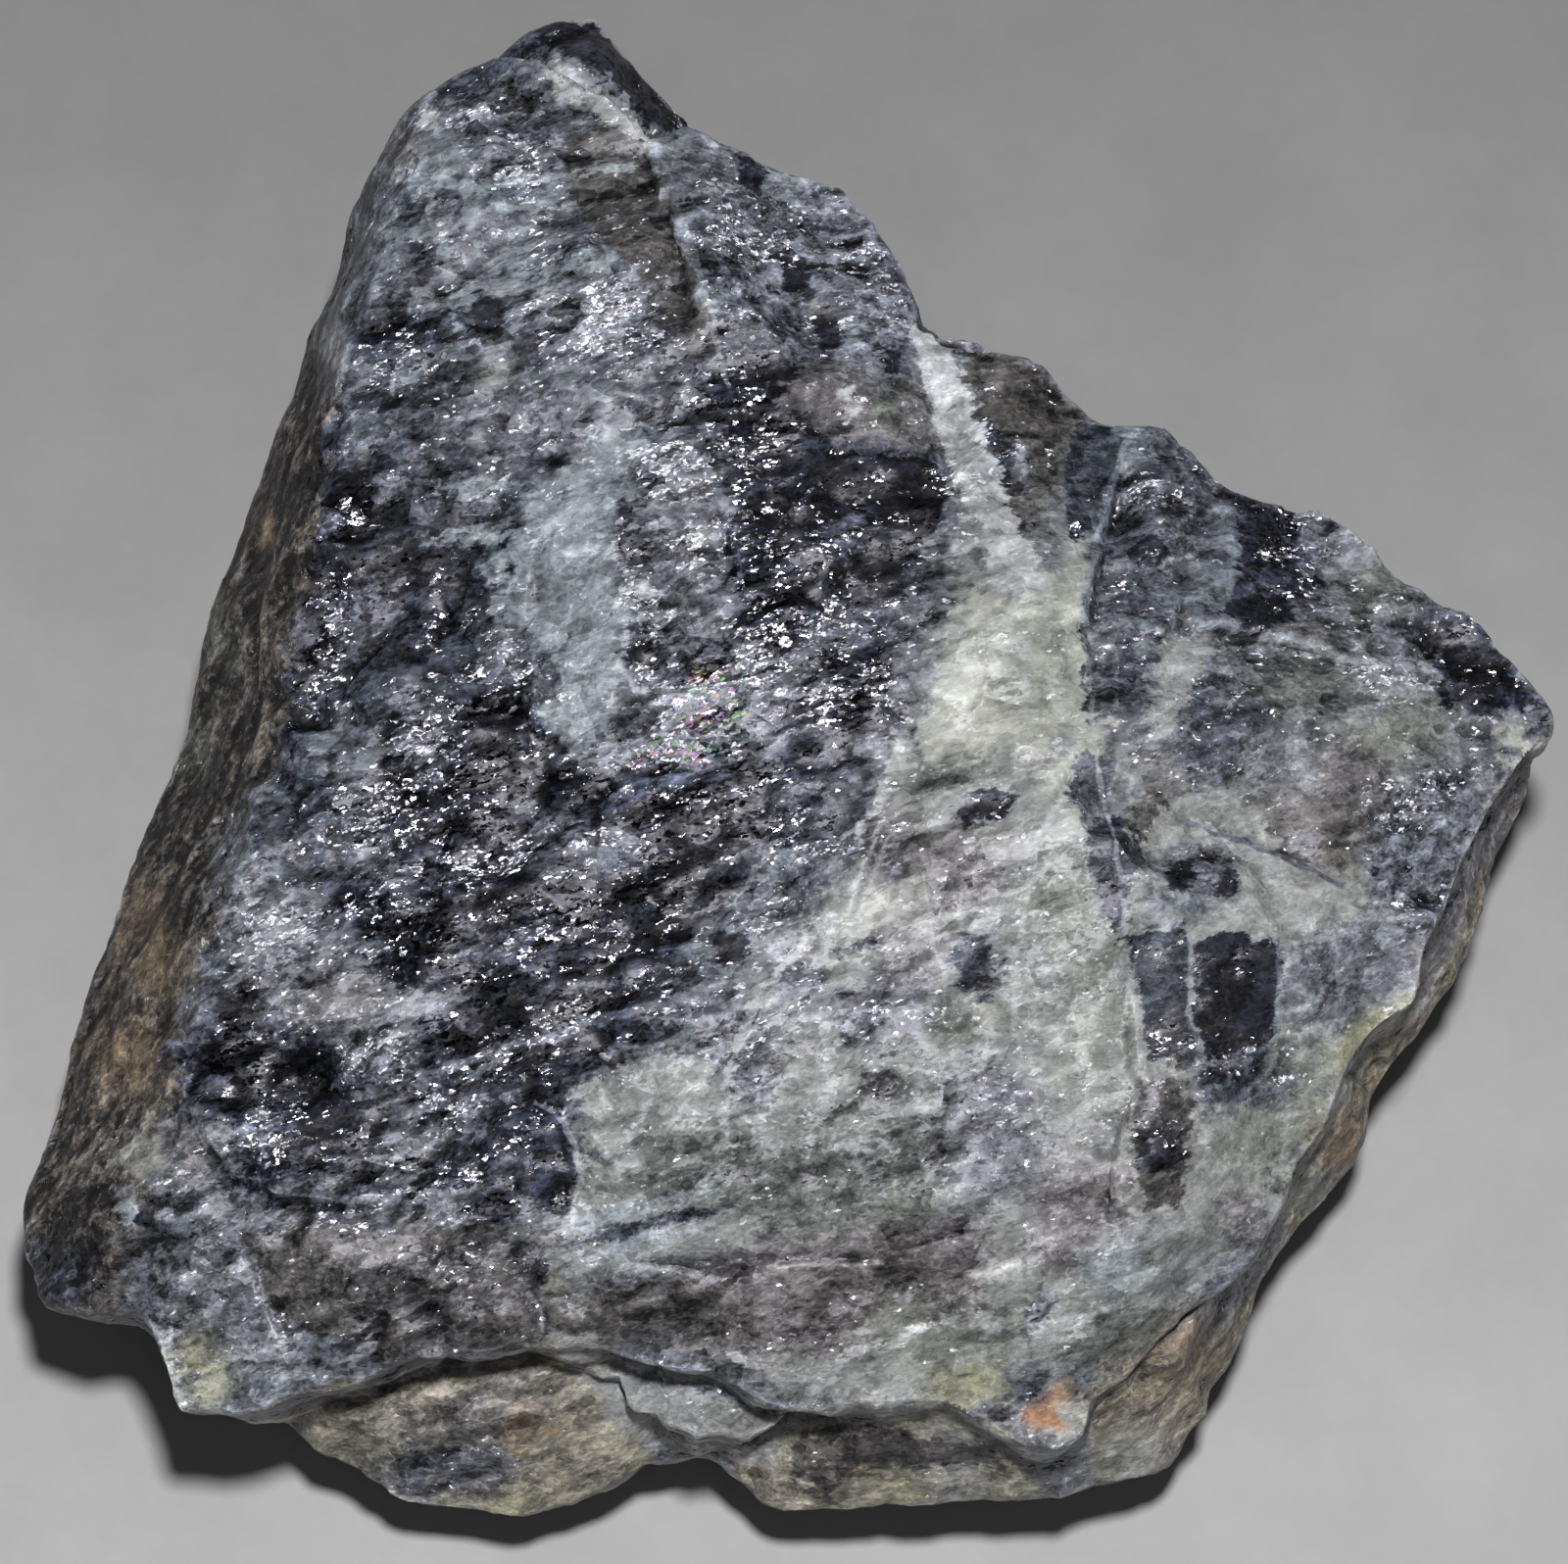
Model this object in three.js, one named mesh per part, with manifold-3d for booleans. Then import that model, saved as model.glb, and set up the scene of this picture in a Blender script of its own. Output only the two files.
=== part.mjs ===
// Rough labradorite chunk, a hand specimen that rests on its flat underside.
// Millimetres, +Z up. The broad broken face looks up, and -Y is the front with the stepped ledges.
import * as THREE from 'three';
import Module from 'manifold-3d';
import { ImprovedNoise } from 'three/addons/math/ImprovedNoise.js';
import { mergeVertices } from 'three/addons/utils/BufferGeometryUtils.js';

// Driving dimensions
const STONE_WIDTH = 72; // left tip to right corner
const SLAB_FLOOR = 0.5; // height of the upper slab's underside, just clear of the resting face
const BODY_FLOOR = 0; // height of the flat underside
const SHELF_FLOOR = 6.0; // height where the small front shelf ends
const KNOB_FLOOR = 1.2; // height where the knob at the back ends
const KNOB_TOP = 16.6; // height that the knob reaches against the upper slab
const LEDGE_TOP = 13.6; // height that the ledges reach against the upper slab
const FACE_SPACING = 1.5; // between the points that carry the broad face
const BODY_SPACING = 1.9; // between the points that carry the ledges
const PATCH_SIZE = 7.5; // across the flat patches of the broad face
const PATCH_SLOPE = 0.3; // rise over run
const WAVE_HEIGHT = 0.25; // of the broad face's long waves, and of its short ones
const RIPPLE_HEIGHT = 0.12;
const SLAB_ROUGHNESS = 0.7; // how far the upper slab's sides stray in and out
const WEATHERED_HEIGHT = 0.5; // of the long hollows in the weathered left side
const STEP_EDGE = 0.35; // between a step's edge and its foot, in plan
const SMALL_SPACING = 1.3; // between the points of the shelf and the knob

// Outlines are read in a view of 1600 x 1596 pixels that looks down on the stone from the front.
const VIEW_LEFT = 19; // pixel column of the left tip
const VIEW_RIGHT = 1586; // pixel column of the right corner
const VIEW_TOP = 18; // pixel row of the knob's far edge
const VIEW_BOTTOM = 1565; // pixel row of the nearest ledge
const VIEW_ELEVATION = THREE.MathUtils.degToRad(72);
const VIEW_DISTANCE = 520; // from the eye to the middle of the stone
const VIEW_MIDDLE_HEIGHT = 12; // height that the eye looks at

// Every point below is pixel column, pixel row, height in millimetres.
// Rim of the broad face, clockwise from the back left
const FACE_RIM = [
  [472, 65, 18.0], [504, 57, 19.0], [545, 62, 19.8], [600, 82, 20.0], [640, 108, 20.0],
  [662, 140, 20.2], [700, 128, 19.0], [729, 140, 18.6], [767, 156, 18.4], [808, 174, 18.2],
  [856, 188, 17.8], [888, 220, 17.8], [901, 242, 17.9], [917, 265, 18.0], [929, 297, 18.2],
  [942, 328, 18.4], [965, 344, 18.4], [996, 349, 18.2], [1012, 360, 18.2], [1053, 363, 17.8],
  [1079, 389, 17.8], [1117, 422, 17.8], [1155, 433, 17.6], [1187, 435, 17.2], [1203, 451, 17.2],
  [1232, 473, 17.0], [1254, 496, 17.0], [1305, 502, 16.4], [1327, 515, 16.2], [1356, 521, 16.0],
  [1400, 553, 15.8], [1437, 590, 15.6], [1474, 617, 15.4], [1497, 625, 15.2], [1535, 665, 14.8],
  [1563, 696, 14.6], [1586, 734, 14.2], [1581, 757, 14.2], [1568, 765, 14.6], [1546, 791, 15.0],
  [1523, 826, 15.4], [1509, 854, 15.6], [1494, 880, 15.8], [1480, 917, 16.0], [1469, 943, 16.2],
  [1454, 975, 16.2], [1438, 1024, 16.2], [1402, 1050, 16.2], [1371, 1096, 16.2], [1351, 1147, 16.0],
  [1326, 1188, 15.8], [1300, 1244, 15.6], [1285, 1280, 15.4], [1259, 1305, 15.2], [1223, 1320, 15.2],
  [1200, 1350, 15.0], [1150, 1400, 14.6], [1115, 1430, 14.2], [1105, 1465, 13.8], [1075, 1482, 13.6],
  [1045, 1478, 13.6], [1009, 1457, 14.0], [965, 1433, 14.4], [933, 1433, 14.6], [901, 1438, 14.6],
  [869, 1436, 14.6], [839, 1441, 14.6], [801, 1438, 14.6], [769, 1426, 14.8], [731, 1404, 15.0],
  [680, 1399, 15.0], [654, 1391, 15.2], [622, 1379, 15.4], [590, 1374, 15.6], [555, 1375, 15.6],
  [488, 1382, 15.4], [424, 1388, 15.2], [392, 1399, 15.0], [367, 1415, 14.6], [322, 1423, 14.2],
  [287, 1431, 14.0], [274, 1440, 13.8], [239, 1440, 13.6], [207, 1437, 13.4], [183, 1441, 13.2],
  [169, 1402, 13.4], [159, 1364, 13.6], [134, 1333, 13.8],
];
// Lower edge of the weathered left side, from the front tip to the back
const SIDE_FOOT = [
  [96, 1340, 13.0], [57, 1335, 12.0], [38, 1330, 11.4], [32, 1297, 10.6], [19, 1258, 10.0],
  [24, 1217, 9.8], [38, 1182, 9.6], [61, 1127, 9.4], [70, 1080, 9.2], [92, 987, 9.0], [128, 898, 9.0],
  [153, 833, 9.0], [169, 794, 9.0], [191, 747, 9.2], [190, 724, 9.2], [204, 667, 9.2], [230, 590, 9.4],
  [252, 514, 9.6], [274, 456, 9.8], [303, 379, 10.2], [316, 338, 10.6], [335, 306, 11.2],
  [348, 274, 12.0], [357, 220, 13.2], [375, 180, 14.4], [394, 140, 15.6], [421, 101, 16.8],
  [447, 91, 17.6],
];
// Edge where the broad face turns over into the weathered left side, from the front to the back
const SIDE_TOP = [
  [150, 1300, 14.6], [118, 1255, 15.0], [126, 1210, 15.4], [160, 1170, 16.2], [180, 1110, 16.8],
  [190, 1050, 17.2], [215, 960, 17.8], [235, 900, 18.0], [260, 840, 18.3], [280, 760, 18.6],
  [295, 680, 18.8], [300, 600, 19.0], [320, 520, 19.3], [335, 420, 19.6], [350, 340, 19.5],
  [378, 250, 19.0], [400, 180, 18.6], [428, 130, 18.2],
];
// Heights on the broad face
const FACE_POINTS = [
  [673, 188, 21.0], [703, 277, 21.8], [732, 360, 22.4], [748, 552, 23.0], [770, 632, 23.2],
  [450, 180, 19.6], [430, 300, 20.4], [560, 250, 20.9], [560, 380, 21.8], [400, 450, 20.6],
  [800, 250, 19.6], [860, 330, 20.2], [820, 420, 21.6], [950, 430, 20.6], [620, 520, 22.4],
  [480, 600, 20.9], [600, 700, 22.2], [430, 760, 20.4], [700, 750, 22.4], [850, 620, 22.6],
  [900, 500, 21.8], [1010, 500, 20.6], [1040, 640, 23.0], [950, 760, 23.2], [880, 870, 23.0],
  [740, 880, 21.6], [560, 900, 21.0], [380, 880, 19.6], [740, 1085, 21.6], [600, 1050, 20.8],
  [430, 1050, 19.4], [280, 1060, 18.2], [300, 1200, 17.6], [450, 1200, 18.6], [600, 1200, 19.6],
  [750, 1220, 20.0], [900, 1150, 21.2], [1010, 900, 23.2], [1095, 830, 23.2], [1040, 1050, 22.0],
  [1000, 1250, 20.0], [850, 1300, 18.6], [650, 1300, 18.0], [400, 1320, 16.8], [240, 1320, 15.2],
  [1100, 700, 22.6], [1200, 560, 19.4], [1300, 600, 18.0], [1250, 700, 20.6], [1400, 720, 18.0],
  [1300, 850, 20.0], [1420, 850, 17.8], [1200, 950, 21.4], [1330, 1000, 19.0], [1200, 1150, 20.0],
  [1100, 1250, 19.2], [1180, 1300, 17.4], [1060, 1370, 16.6],
];
// Outline of the lower body: the right and front ledges, then its hidden left and back
const BODY_RIM = [
  [1562, 762, 9.0], [1563, 800, 8.6], [1550, 836, 8.4], [1532, 860, 8.4], [1524, 889, 8.4],
  [1519, 922, 8.2], [1496, 989, 8.0], [1473, 1024, 8.0], [1453, 1050, 7.8], [1417, 1091, 7.6],
  [1399, 1116, 7.6], [1397, 1152, 7.4], [1382, 1188, 7.2], [1356, 1218, 7.0], [1326, 1249, 7.0],
  [1305, 1280, 6.8], [1290, 1310, 6.8], [1274, 1351, 6.6], [1259, 1392, 6.6], [1239, 1422, 6.4],
  [1236, 1448, 6.2], [1208, 1473, 6.0], [1188, 1499, 6.0], [1157, 1519, 6.0], [1121, 1530, 6.0],
  [1096, 1563, 5.8], [1065, 1555, 5.8], [1035, 1547, 6.0], [979, 1545, 6.0], [948, 1565, 5.6],
  [922, 1563, 5.6], [871, 1552, 5.8], [801, 1552, 5.8], [778, 1532, 6.0], [756, 1511, 6.0],
  [727, 1490, 6.2], [689, 1489, 6.2], [654, 1492, 6.2], [629, 1514, 6.0], [593, 1525, 6.0],
  [552, 1541, 5.8], [527, 1556, 5.6], [482, 1548, 5.6], [424, 1537, 5.8], [395, 1545, 5.8],
  [386, 1520, 6.0], [367, 1501, 6.2], [344, 1486, 6.4], [303, 1469, 6.6], [276, 1446, 7.0],
  [286, 1400, 7.0], [300, 1320, 7.0], [306, 1200, 6.6], [330, 1050, 6.4], [365, 900, 6.4],
  [405, 750, 6.4], [440, 600, 6.6], [490, 450, 6.8], [560, 330, 7.0], [680, 300, 7.6], [800, 380, 8.0],
  [920, 480, 8.0], [1060, 560, 8.0], [1200, 630, 8.0], [1340, 690, 8.2], [1450, 735, 8.6],
  [1525, 748, 9.0],
];
// Heights on the ledges
const BODY_POINTS = [
  [330, 1440, 9.4], [420, 1450, 9.6], [500, 1452, 10.4], [590, 1470, 9.0], [480, 1505, 8.4],
  [410, 1500, 8.2], [700, 1470, 8.6], [830, 1480, 9.4], [930, 1490, 9.4], [1000, 1515, 8.2],
  [1100, 1490, 9.6], [1180, 1430, 11.4], [1222, 1385, 12.0], [1330, 1190, 13.2], [1376, 1120, 13.4],
  [1474, 960, 13.6], [1530, 810, 13.4], [1450, 800, 13.0], [800, 800, 11.0], [450, 700, 8.0],
  [600, 400, 8.0], [1200, 700, 10.0], [800, 1300, 11.0],
];
// Small shelf that shows between the broad face and the front ledges
const SHELF_RIM = [
  [556, 1380, 12.0], [562, 1345, 12.8], [640, 1330, 13.0], [760, 1350, 13.0], [822, 1400, 12.4],
  [800, 1452, 11.4], [766, 1474, 11.0], [737, 1468, 11.0], [711, 1471, 11.0], [699, 1461, 11.0],
  [676, 1458, 11.0], [667, 1444, 11.0], [641, 1438, 11.2], [638, 1420, 11.4], [632, 1404, 11.8],
  [613, 1402, 12.0], [590, 1391, 12.0], [568, 1390, 12.0],
];
const SHELF_POINTS = [[690, 1425, 12.4], [745, 1440, 12.2]];
// Dark knob behind the back rim
const KNOB_RIM = [
  [450, 108, 11.4], [482, 74, 12.8], [504, 55, 13.4], [529, 35, 13.8], [565, 19, 14.2], [619, 18, 14.2],
  [627, 29, 14.0], [642, 51, 13.8], [658, 75, 13.6], [678, 92, 13.2], [694, 114, 12.6],
  [730, 150, 11.4], [740, 240, 12.0], [660, 300, 13.0], [560, 290, 13.0], [470, 220, 12.0],
];
const KNOB_POINTS = [[590, 62, 16.6], [628, 88, 16.0], [556, 46, 15.4]];

// Steps in the broad face. Each is a cliff along its line, and the ground beyond rises back over reach.
const FACE_STEPS = [
  { line: [[545, 64], [600, 84], [650, 122], [673, 188], [703, 277], [732, 360]], drop: 0.8, reach: 5 },
  { line: [[729, 504], [748, 552], [770, 632]], drop: 0.5, reach: 4 },
  {
    line: [[1142, 483], [1130, 515], [1120, 569], [1107, 620], [1107, 661], [1117, 728]],
    drop: -0.9,
    reach: 6,
  },
  {
    line: [[1123, 658], [1187, 645], [1251, 637], [1299, 648], [1351, 665], [1394, 682]],
    drop: 0.9,
    reach: 6,
  },
  { line: [[740, 1085], [800, 1010], [865, 930], [900, 840], [960, 760], [1040, 640]], drop: 0.3, reach: 8 },
  { line: [[560, 1240], [585, 1200], [560, 1150], [500, 1130]], drop: 0.6, reach: 4 },
  { line: [[180, 1110], [230, 1190], [290, 1215], [400, 1230], [430, 1180]], drop: 0.6, reach: 4 },
  { line: [[242, 1265], [265, 1329], [293, 1386]], drop: -0.5, reach: 3 },
  { line: [[1100, 1270], [1000, 1300], [850, 1290], [700, 1300], [590, 1290]], drop: 0.6, reach: 4 },
  { line: [[1356, 896], [1299, 867], [1235, 841], [1160, 810]], drop: 0.5, reach: 3 },
  { line: [[340, 800], [360, 700], [410, 640], [480, 620], [500, 540]], drop: -0.6, reach: 4 },
  { line: [[545, 800], [520, 700], [545, 560], [600, 420]], drop: 0.5, reach: 4 },
  { line: [[400, 900], [560, 870], [640, 800], [760, 790]], drop: -0.5, reach: 4 },
  { line: [[1140, 1210], [1160, 1090], [1150, 960]], drop: -0.5, reach: 4 },
  { line: [[780, 560], [860, 470], [960, 470], [985, 540]], drop: -0.5, reach: 4 },
];
// Shell-shaped hollows in the broad face: pixel column, pixel row, half width, half depth, depth
const FACE_SCOOPS = [
  [960, 1388, 4.6, 2.4, 0.9],
  [815, 312, 2.4, 2.0, 0.7],
  [1005, 822, 1.5, 0.8, 0.5],
  [905, 1105, 1.0, 0.8, 0.4],
  [660, 900, 3.0, 2.6, 0.5],
  [300, 1100, 3.4, 3.2, 0.6],
  [1190, 560, 2.6, 3.4, 0.5],
  [1262, 1010, 2.2, 2.4, 0.4],
];

// Height lost and width lost, row by row, from a rim to its floor
const SLAB_ROWS = [[0.07, 0.1], [0.2, 0.5], [0.38, 1.4], [0.58, 2.6], [0.8, 4.2], [1, 6.0]];
const BODY_ROWS = [[0.22, 0.2], [0.5, 1.3], [0.8, 2.9], [1, 4.6]];
const SHELF_ROWS = [[0.3, 0.4], [0.7, 1.2], [1, 2.2]];
const KNOB_ROWS = [[0.14, 0.2], [0.4, 1.1], [0.7, 2.4], [1, 3.8]];

// Planes that trim the sides below the rim, as flakes have left them: pixel column, pixel row and height of a
// point on the plane, the compass angle it faces, counted from +X towards +Y, and how far it leans out
const SIDE_CUTS = [
  [800, 165, 10, 62, 22],
  [1010, 350, 11, 56, 33],
  [1200, 470, 8, 52, 20],
  [1470, 640, 9, 44, 30],
  [1565, 800, 6, -18, 34],
  [1420, 1090, 4, -30, 30],
  [1280, 1340, 4, -22, 38],
  [1110, 1550, 3, -72, 32],
  [830, 1545, 3, -96, 40],
  [500, 1545, 3, -84, 36],
  [300, 1450, 6, -128, 42],
  [100, 1330, 9, -142, 48],
  [40, 1180, 7, 192, 38],
  [130, 880, 6, 168, 30],
  [230, 590, 6, 160, 38],
  [330, 330, 8, 152, 26],
  [440, 100, 11, 138, 28],
  [575, 45, 9, 92, 36],
];
const CUT_SIZE = 90; // wider than the stone

// Shares of the spacing: between rows of loose points, and the room that a loose point keeps
const ROW_SHARE = 0.87;
const CLEAR_SHARE = 0.62;
const STEP_CLEAR_SHARE = 0.7;
// Share of a step's length over which it rises to its full drop
const STEP_FADE = 0.2;

const STONE_COLOUR = 0x6f7478;
const STONE_ROUGHNESS = 0.45;

const FAR = 1e4; // far outside the stone

const noise = new ImprovedNoise();
const pixelSize = STONE_WIDTH / (VIEW_RIGHT - VIEW_LEFT);
const eyeForward = new THREE.Vector3(0, Math.cos(VIEW_ELEVATION), -Math.sin(VIEW_ELEVATION));
const eyeUp = new THREE.Vector3(0, Math.sin(VIEW_ELEVATION), Math.cos(VIEW_ELEVATION));
const eye = new THREE.Vector3(0, 0, VIEW_MIDDLE_HEIGHT).addScaledVector(eyeForward, -VIEW_DISTANCE);

// The place where the sight line through a pixel meets a height
function placed([column, row, height]) {
  const ray = eyeForward.clone().multiplyScalar(VIEW_DISTANCE);
  ray.x += (column - (VIEW_LEFT + VIEW_RIGHT) / 2) * pixelSize;
  ray.addScaledVector(eyeUp, ((VIEW_TOP + VIEW_BOTTOM) / 2 - row) * pixelSize);
  return eye.clone().addScaledVector(ray, (height - eye.z) / ray.z);
}

// Solves a square system in place by elimination with row swaps
function solve(rows) {
  const size = rows.length;
  for (let column = 0; column < size; column++) {
    let pivot = column;
    for (let row = column + 1; row < size; row++) {
      if (Math.abs(rows[row][column]) > Math.abs(rows[pivot][column])) pivot = row;
    }
    [rows[column], rows[pivot]] = [rows[pivot], rows[column]];
    for (let row = 0; row < size; row++) {
      if (row === column) continue;
      const factor = rows[row][column] / rows[column][column];
      for (let at = column; at <= size; at++) rows[row][at] -= factor * rows[column][at];
    }
  }
  return rows.map((row, at) => row[size] / row[at]);
}

// A smooth height over x and y that passes through points, as a thin bent plate does
function plateThrough(points) {
  const bend = (dx, dy) => {
    const square = dx * dx + dy * dy;
    return square > 0 ? square * Math.log(square) : 0;
  };
  const rows = points.map((p) => [...points.map((q) => bend(p.x - q.x, p.y - q.y)), 1, p.x, p.y, p.z]);
  for (const level of [() => 1, (p) => p.x, (p) => p.y]) rows.push([...points.map(level), 0, 0, 0, 0]);
  const weights = solve(rows);
  const [base, slopeX, slopeY] = weights.slice(points.length);
  return (x, y) => points.reduce(
    (sum, p, at) => sum + weights[at] * bend(x - p.x, y - p.y),
    base + slopeX * x + slopeY * y,
  );
}

// Triangles between points in plan, none with a point inside its circle
function delaunay(points) {
  const all = [...points, { x: -FAR, y: -FAR }, { x: FAR, y: -FAR }, { x: 0, y: FAR }];
  const circled = (a, b, c) => {
    const [p, q, r] = [all[a], all[b], all[c]];
    const twice = 2 * (p.x * (q.y - r.y) + q.x * (r.y - p.y) + r.x * (p.y - q.y));
    const [pp, qq, rr] = [p, q, r].map((v) => v.x * v.x + v.y * v.y);
    const x = (pp * (q.y - r.y) + qq * (r.y - p.y) + rr * (p.y - q.y)) / twice;
    const y = (pp * (r.x - q.x) + qq * (p.x - r.x) + rr * (q.x - p.x)) / twice;
    return { corners: [a, b, c], x, y, square: (p.x - x) ** 2 + (p.y - y) ** 2 };
  };
  let triangles = [circled(points.length, points.length + 1, points.length + 2)];
  points.forEach((point, index) => {
    const kept = [];
    const edges = new Map();
    for (const triangle of triangles) {
      if ((point.x - triangle.x) ** 2 + (point.y - triangle.y) ** 2 >= triangle.square) {
        kept.push(triangle);
        continue;
      }
      triangle.corners.forEach((from, at) => {
        const to = triangle.corners[(at + 1) % 3];
        const twin = `${to},${from}`;
        if (!edges.delete(twin)) edges.set(`${from},${to}`, [from, to]);
      });
    }
    for (const [from, to] of edges.values()) kept.push(circled(from, to, index));
    triangles = kept;
  });
  const found = triangles.map((triangle) => triangle.corners);
  return found.filter((corners) => Math.max(...corners) < points.length);
}

function inside(outline, x, y) {
  let odd = false;
  outline.forEach((to, at) => {
    const from = outline.at(at - 1);
    const crosses = to.y > y !== from.y > y;
    if (crosses && x < to.x + ((y - to.y) * (from.x - to.x)) / (from.y - to.y)) odd = !odd;
  });
  return odd;
}

// The nearest point of a line in plan, how far along it that is, and the side it is seen from
function nearest(line, x, y) {
  let best = { distance: Infinity };
  for (let at = 1; at < line.length; at++) {
    const [from, to] = [line[at - 1], line[at]];
    const [dx, dy] = [to.x - from.x, to.y - from.y];
    const along = ((x - from.x) * dx + (y - from.y) * dy) / (dx * dx + dy * dy);
    const share = THREE.MathUtils.clamp(along, 0, 1);
    const distance = Math.hypot(x - from.x - share * dx, y - from.y - share * dy);
    if (distance >= best.distance) continue;
    const side = Math.sign((x - from.x) * dy - (y - from.y) * dx);
    best = { distance, side, along: (at - 1 + share) / (line.length - 1) };
  }
  return best;
}

// The same unevenness wherever it is asked for again: a value from about -1 to 1
function unevenness(x, y, z, scale) {
  return noise.noise(x * scale, y * scale, z);
}

// Points along a line, no further apart than spacing, its last point left out
function walked(from, to, spacing) {
  const count = Math.ceil(Math.hypot(to.x - from.x, to.y - from.y) / spacing);
  return Array.from({ length: count }, (_, at) => from.clone().lerp(to, at / count));
}

function closedOutline(rim, spacing) {
  const corners = rim.map(placed);
  return corners.flatMap((from, at) => walked(from, corners[(at + 1) % corners.length], spacing));
}

function isClear(point, others, distance) {
  return others.every((other) => Math.hypot(other.x - point.x, other.y - point.y) > distance);
}

// Loose points in staggered rows that fill an outline and keep clear of it and of those already there
function filled(outline, spacing, taken) {
  const points = [];
  const box = new THREE.Box3().setFromPoints(outline);
  for (let row = 0, y = box.min.y; y < box.max.y; row++, y += spacing * ROW_SHARE) {
    for (let x = box.min.x + (row % 2) * spacing * 0.5; x < box.max.x; x += spacing) {
      const point = new THREE.Vector3(
        x + 0.5 * spacing * noise.noise(x * 0.71, y * 0.83, 3.3),
        y + 0.5 * spacing * noise.noise(x * 0.77, y * 0.69, 8.7),
        0,
      );
      if (!inside(outline, point.x, point.y)) continue;
      if (isClear(point, [...outline, ...taken], CLEAR_SHARE * spacing)) points.push(point);
    }
  }
  return points;
}

// A closed slab: a lid over the rim that follows height, rows that step inwards below it, and a flat floor
function slab({ rim, height, rows, floor, spacing, extra = [], roughness }) {
  const outline = closedOutline(rim, spacing * ROW_SHARE);
  const middle = outline.reduce((sum, p) => sum.add(p), new THREE.Vector3()).divideScalar(outline.length);
  const lid = [...outline, ...extra, ...filled(outline, spacing, extra)];
  for (const point of lid) point.z = height(point.x, point.y);
  const rings = [outline.map((_, at) => at)];
  const points = [...lid];
  for (const [fall, pull] of rows) {
    rings.push(outline.map((top) => {
      const z = THREE.MathUtils.lerp(top.z, floor, fall);
      const rib = noise.noise(top.x * 0.35, top.y * 0.35, z * 0.3);
      const grain = noise.noise(top.x * 0.9, top.y * 0.9, z * 0.5);
      const inward = pull * (1 + 0.5 * rib) + (fall < 1 ? roughness * (rib + 0.6 * grain) : 0);
      const away = Math.hypot(top.x - middle.x, top.y - middle.y);
      const share = 1 - Math.max(inward, 0) / away;
      points.push(new THREE.Vector3(
        middle.x + (top.x - middle.x) * share,
        middle.y + (top.y - middle.y) * share,
        z,
      ));
      return points.length - 1;
    }));
  }
  const faces = delaunay(lid).filter((corners) => {
    const [x, y] = ['x', 'y'].map((axis) => corners.reduce((sum, at) => sum + lid[at][axis], 0) / 3);
    return inside(outline, x, y);
  });
  for (let row = 1; row < rings.length; row++) {
    rings[row].forEach((_, at) => {
      const next = (at + 1) % outline.length;
      const [a, b, c, d] = [rings[row - 1][at], rings[row - 1][next], rings[row][next], rings[row][at]];
      faces.push([a, b, d], [b, c, d]);
    });
  }
  const foot = rings.at(-1).toReversed();
  const corners = foot.map((at) => new THREE.Vector2(points[at].x, points[at].y));
  for (const face of THREE.ShapeUtils.triangulateShape(corners, [])) {
    faces.push(face.map((at) => foot[at]).toReversed());
  }
  return { points, faces };
}

// Flat tilted patches, each with its own slope
function patches(x, y) {
  let best = { distance: Infinity };
  for (let column = Math.floor(x / PATCH_SIZE) - 1; column <= Math.floor(x / PATCH_SIZE) + 1; column++) {
    for (let row = Math.floor(y / PATCH_SIZE) - 1; row <= Math.floor(y / PATCH_SIZE) + 1; row++) {
      const seedX = (column + 0.5 + 0.9 * noise.noise(column * 1.7, row * 2.3, 0.4)) * PATCH_SIZE;
      const seedY = (row + 0.5 + 0.9 * noise.noise(column * 2.1, row * 1.9, 6.2)) * PATCH_SIZE;
      const distance = Math.hypot(x - seedX, y - seedY);
      if (distance < best.distance) best = { distance, column, row, dx: x - seedX, dy: y - seedY };
    }
  }
  const { column, row, dx, dy } = best;
  const slopeX = noise.noise(column * 3.3, row * 1.3, 2.2) * PATCH_SLOPE;
  const slopeY = noise.noise(column * 1.1, row * 3.7, 7.9) * PATCH_SLOPE;
  return slopeX * dx + slopeY * dy;
}

// The broad face: a bent plate, cut off by the steep left side, with its steps, scoops and unevenness
function faceHeight() {
  const face = plateThrough([...FACE_RIM, ...SIDE_TOP, ...FACE_POINTS].map(placed));
  const side = plateThrough([...SIDE_FOOT, ...SIDE_TOP].map(placed));
  const steps = FACE_STEPS.map(({ line, drop, reach }) => ({ line: onPlate(line, face), drop, reach }));
  const scoops = FACE_SCOOPS.map(([column, row, ...sizes]) => [onPlate([[column, row]], face)[0], ...sizes]);
  const height = (x, y) => {
    let z = face(x, y);
    for (const { line, drop, reach } of steps) {
      const near = nearest(line, x, y);
      if (near.distance >= reach || near.side !== Math.sign(drop)) continue;
      const faded = Math.min(1, near.along / STEP_FADE, (1 - near.along) / STEP_FADE);
      z -= Math.abs(drop) * (1 - near.distance / reach) ** 2 * faded;
    }
    for (const [at, halfWidth, halfDepth, depth] of scoops) {
      z -= depth * Math.max(0, 1 - ((x - at.x) / halfWidth) ** 2 - ((y - at.y) / halfDepth) ** 2);
    }
    z += patches(x, y);
    z += WAVE_HEIGHT * unevenness(x, y, 1.7, 0.23) + RIPPLE_HEIGHT * unevenness(x, y, 5.1, 0.55);
    const weathered = side(x, y) + WEATHERED_HEIGHT * noise.noise(x * 0.3, y * 0.12, 9.4);
    return Math.min(z, weathered);
  };
  return { height, steps };
}

// A pixel line set down on the face's plate
function onPlate(line, plate) {
  return line.map(([column, row]) => {
    let point = placed([column, row, 20]);
    for (let pass = 0; pass < 3; pass++) point = placed([column, row, plate(point.x, point.y)]);
    return point;
  });
}

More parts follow.
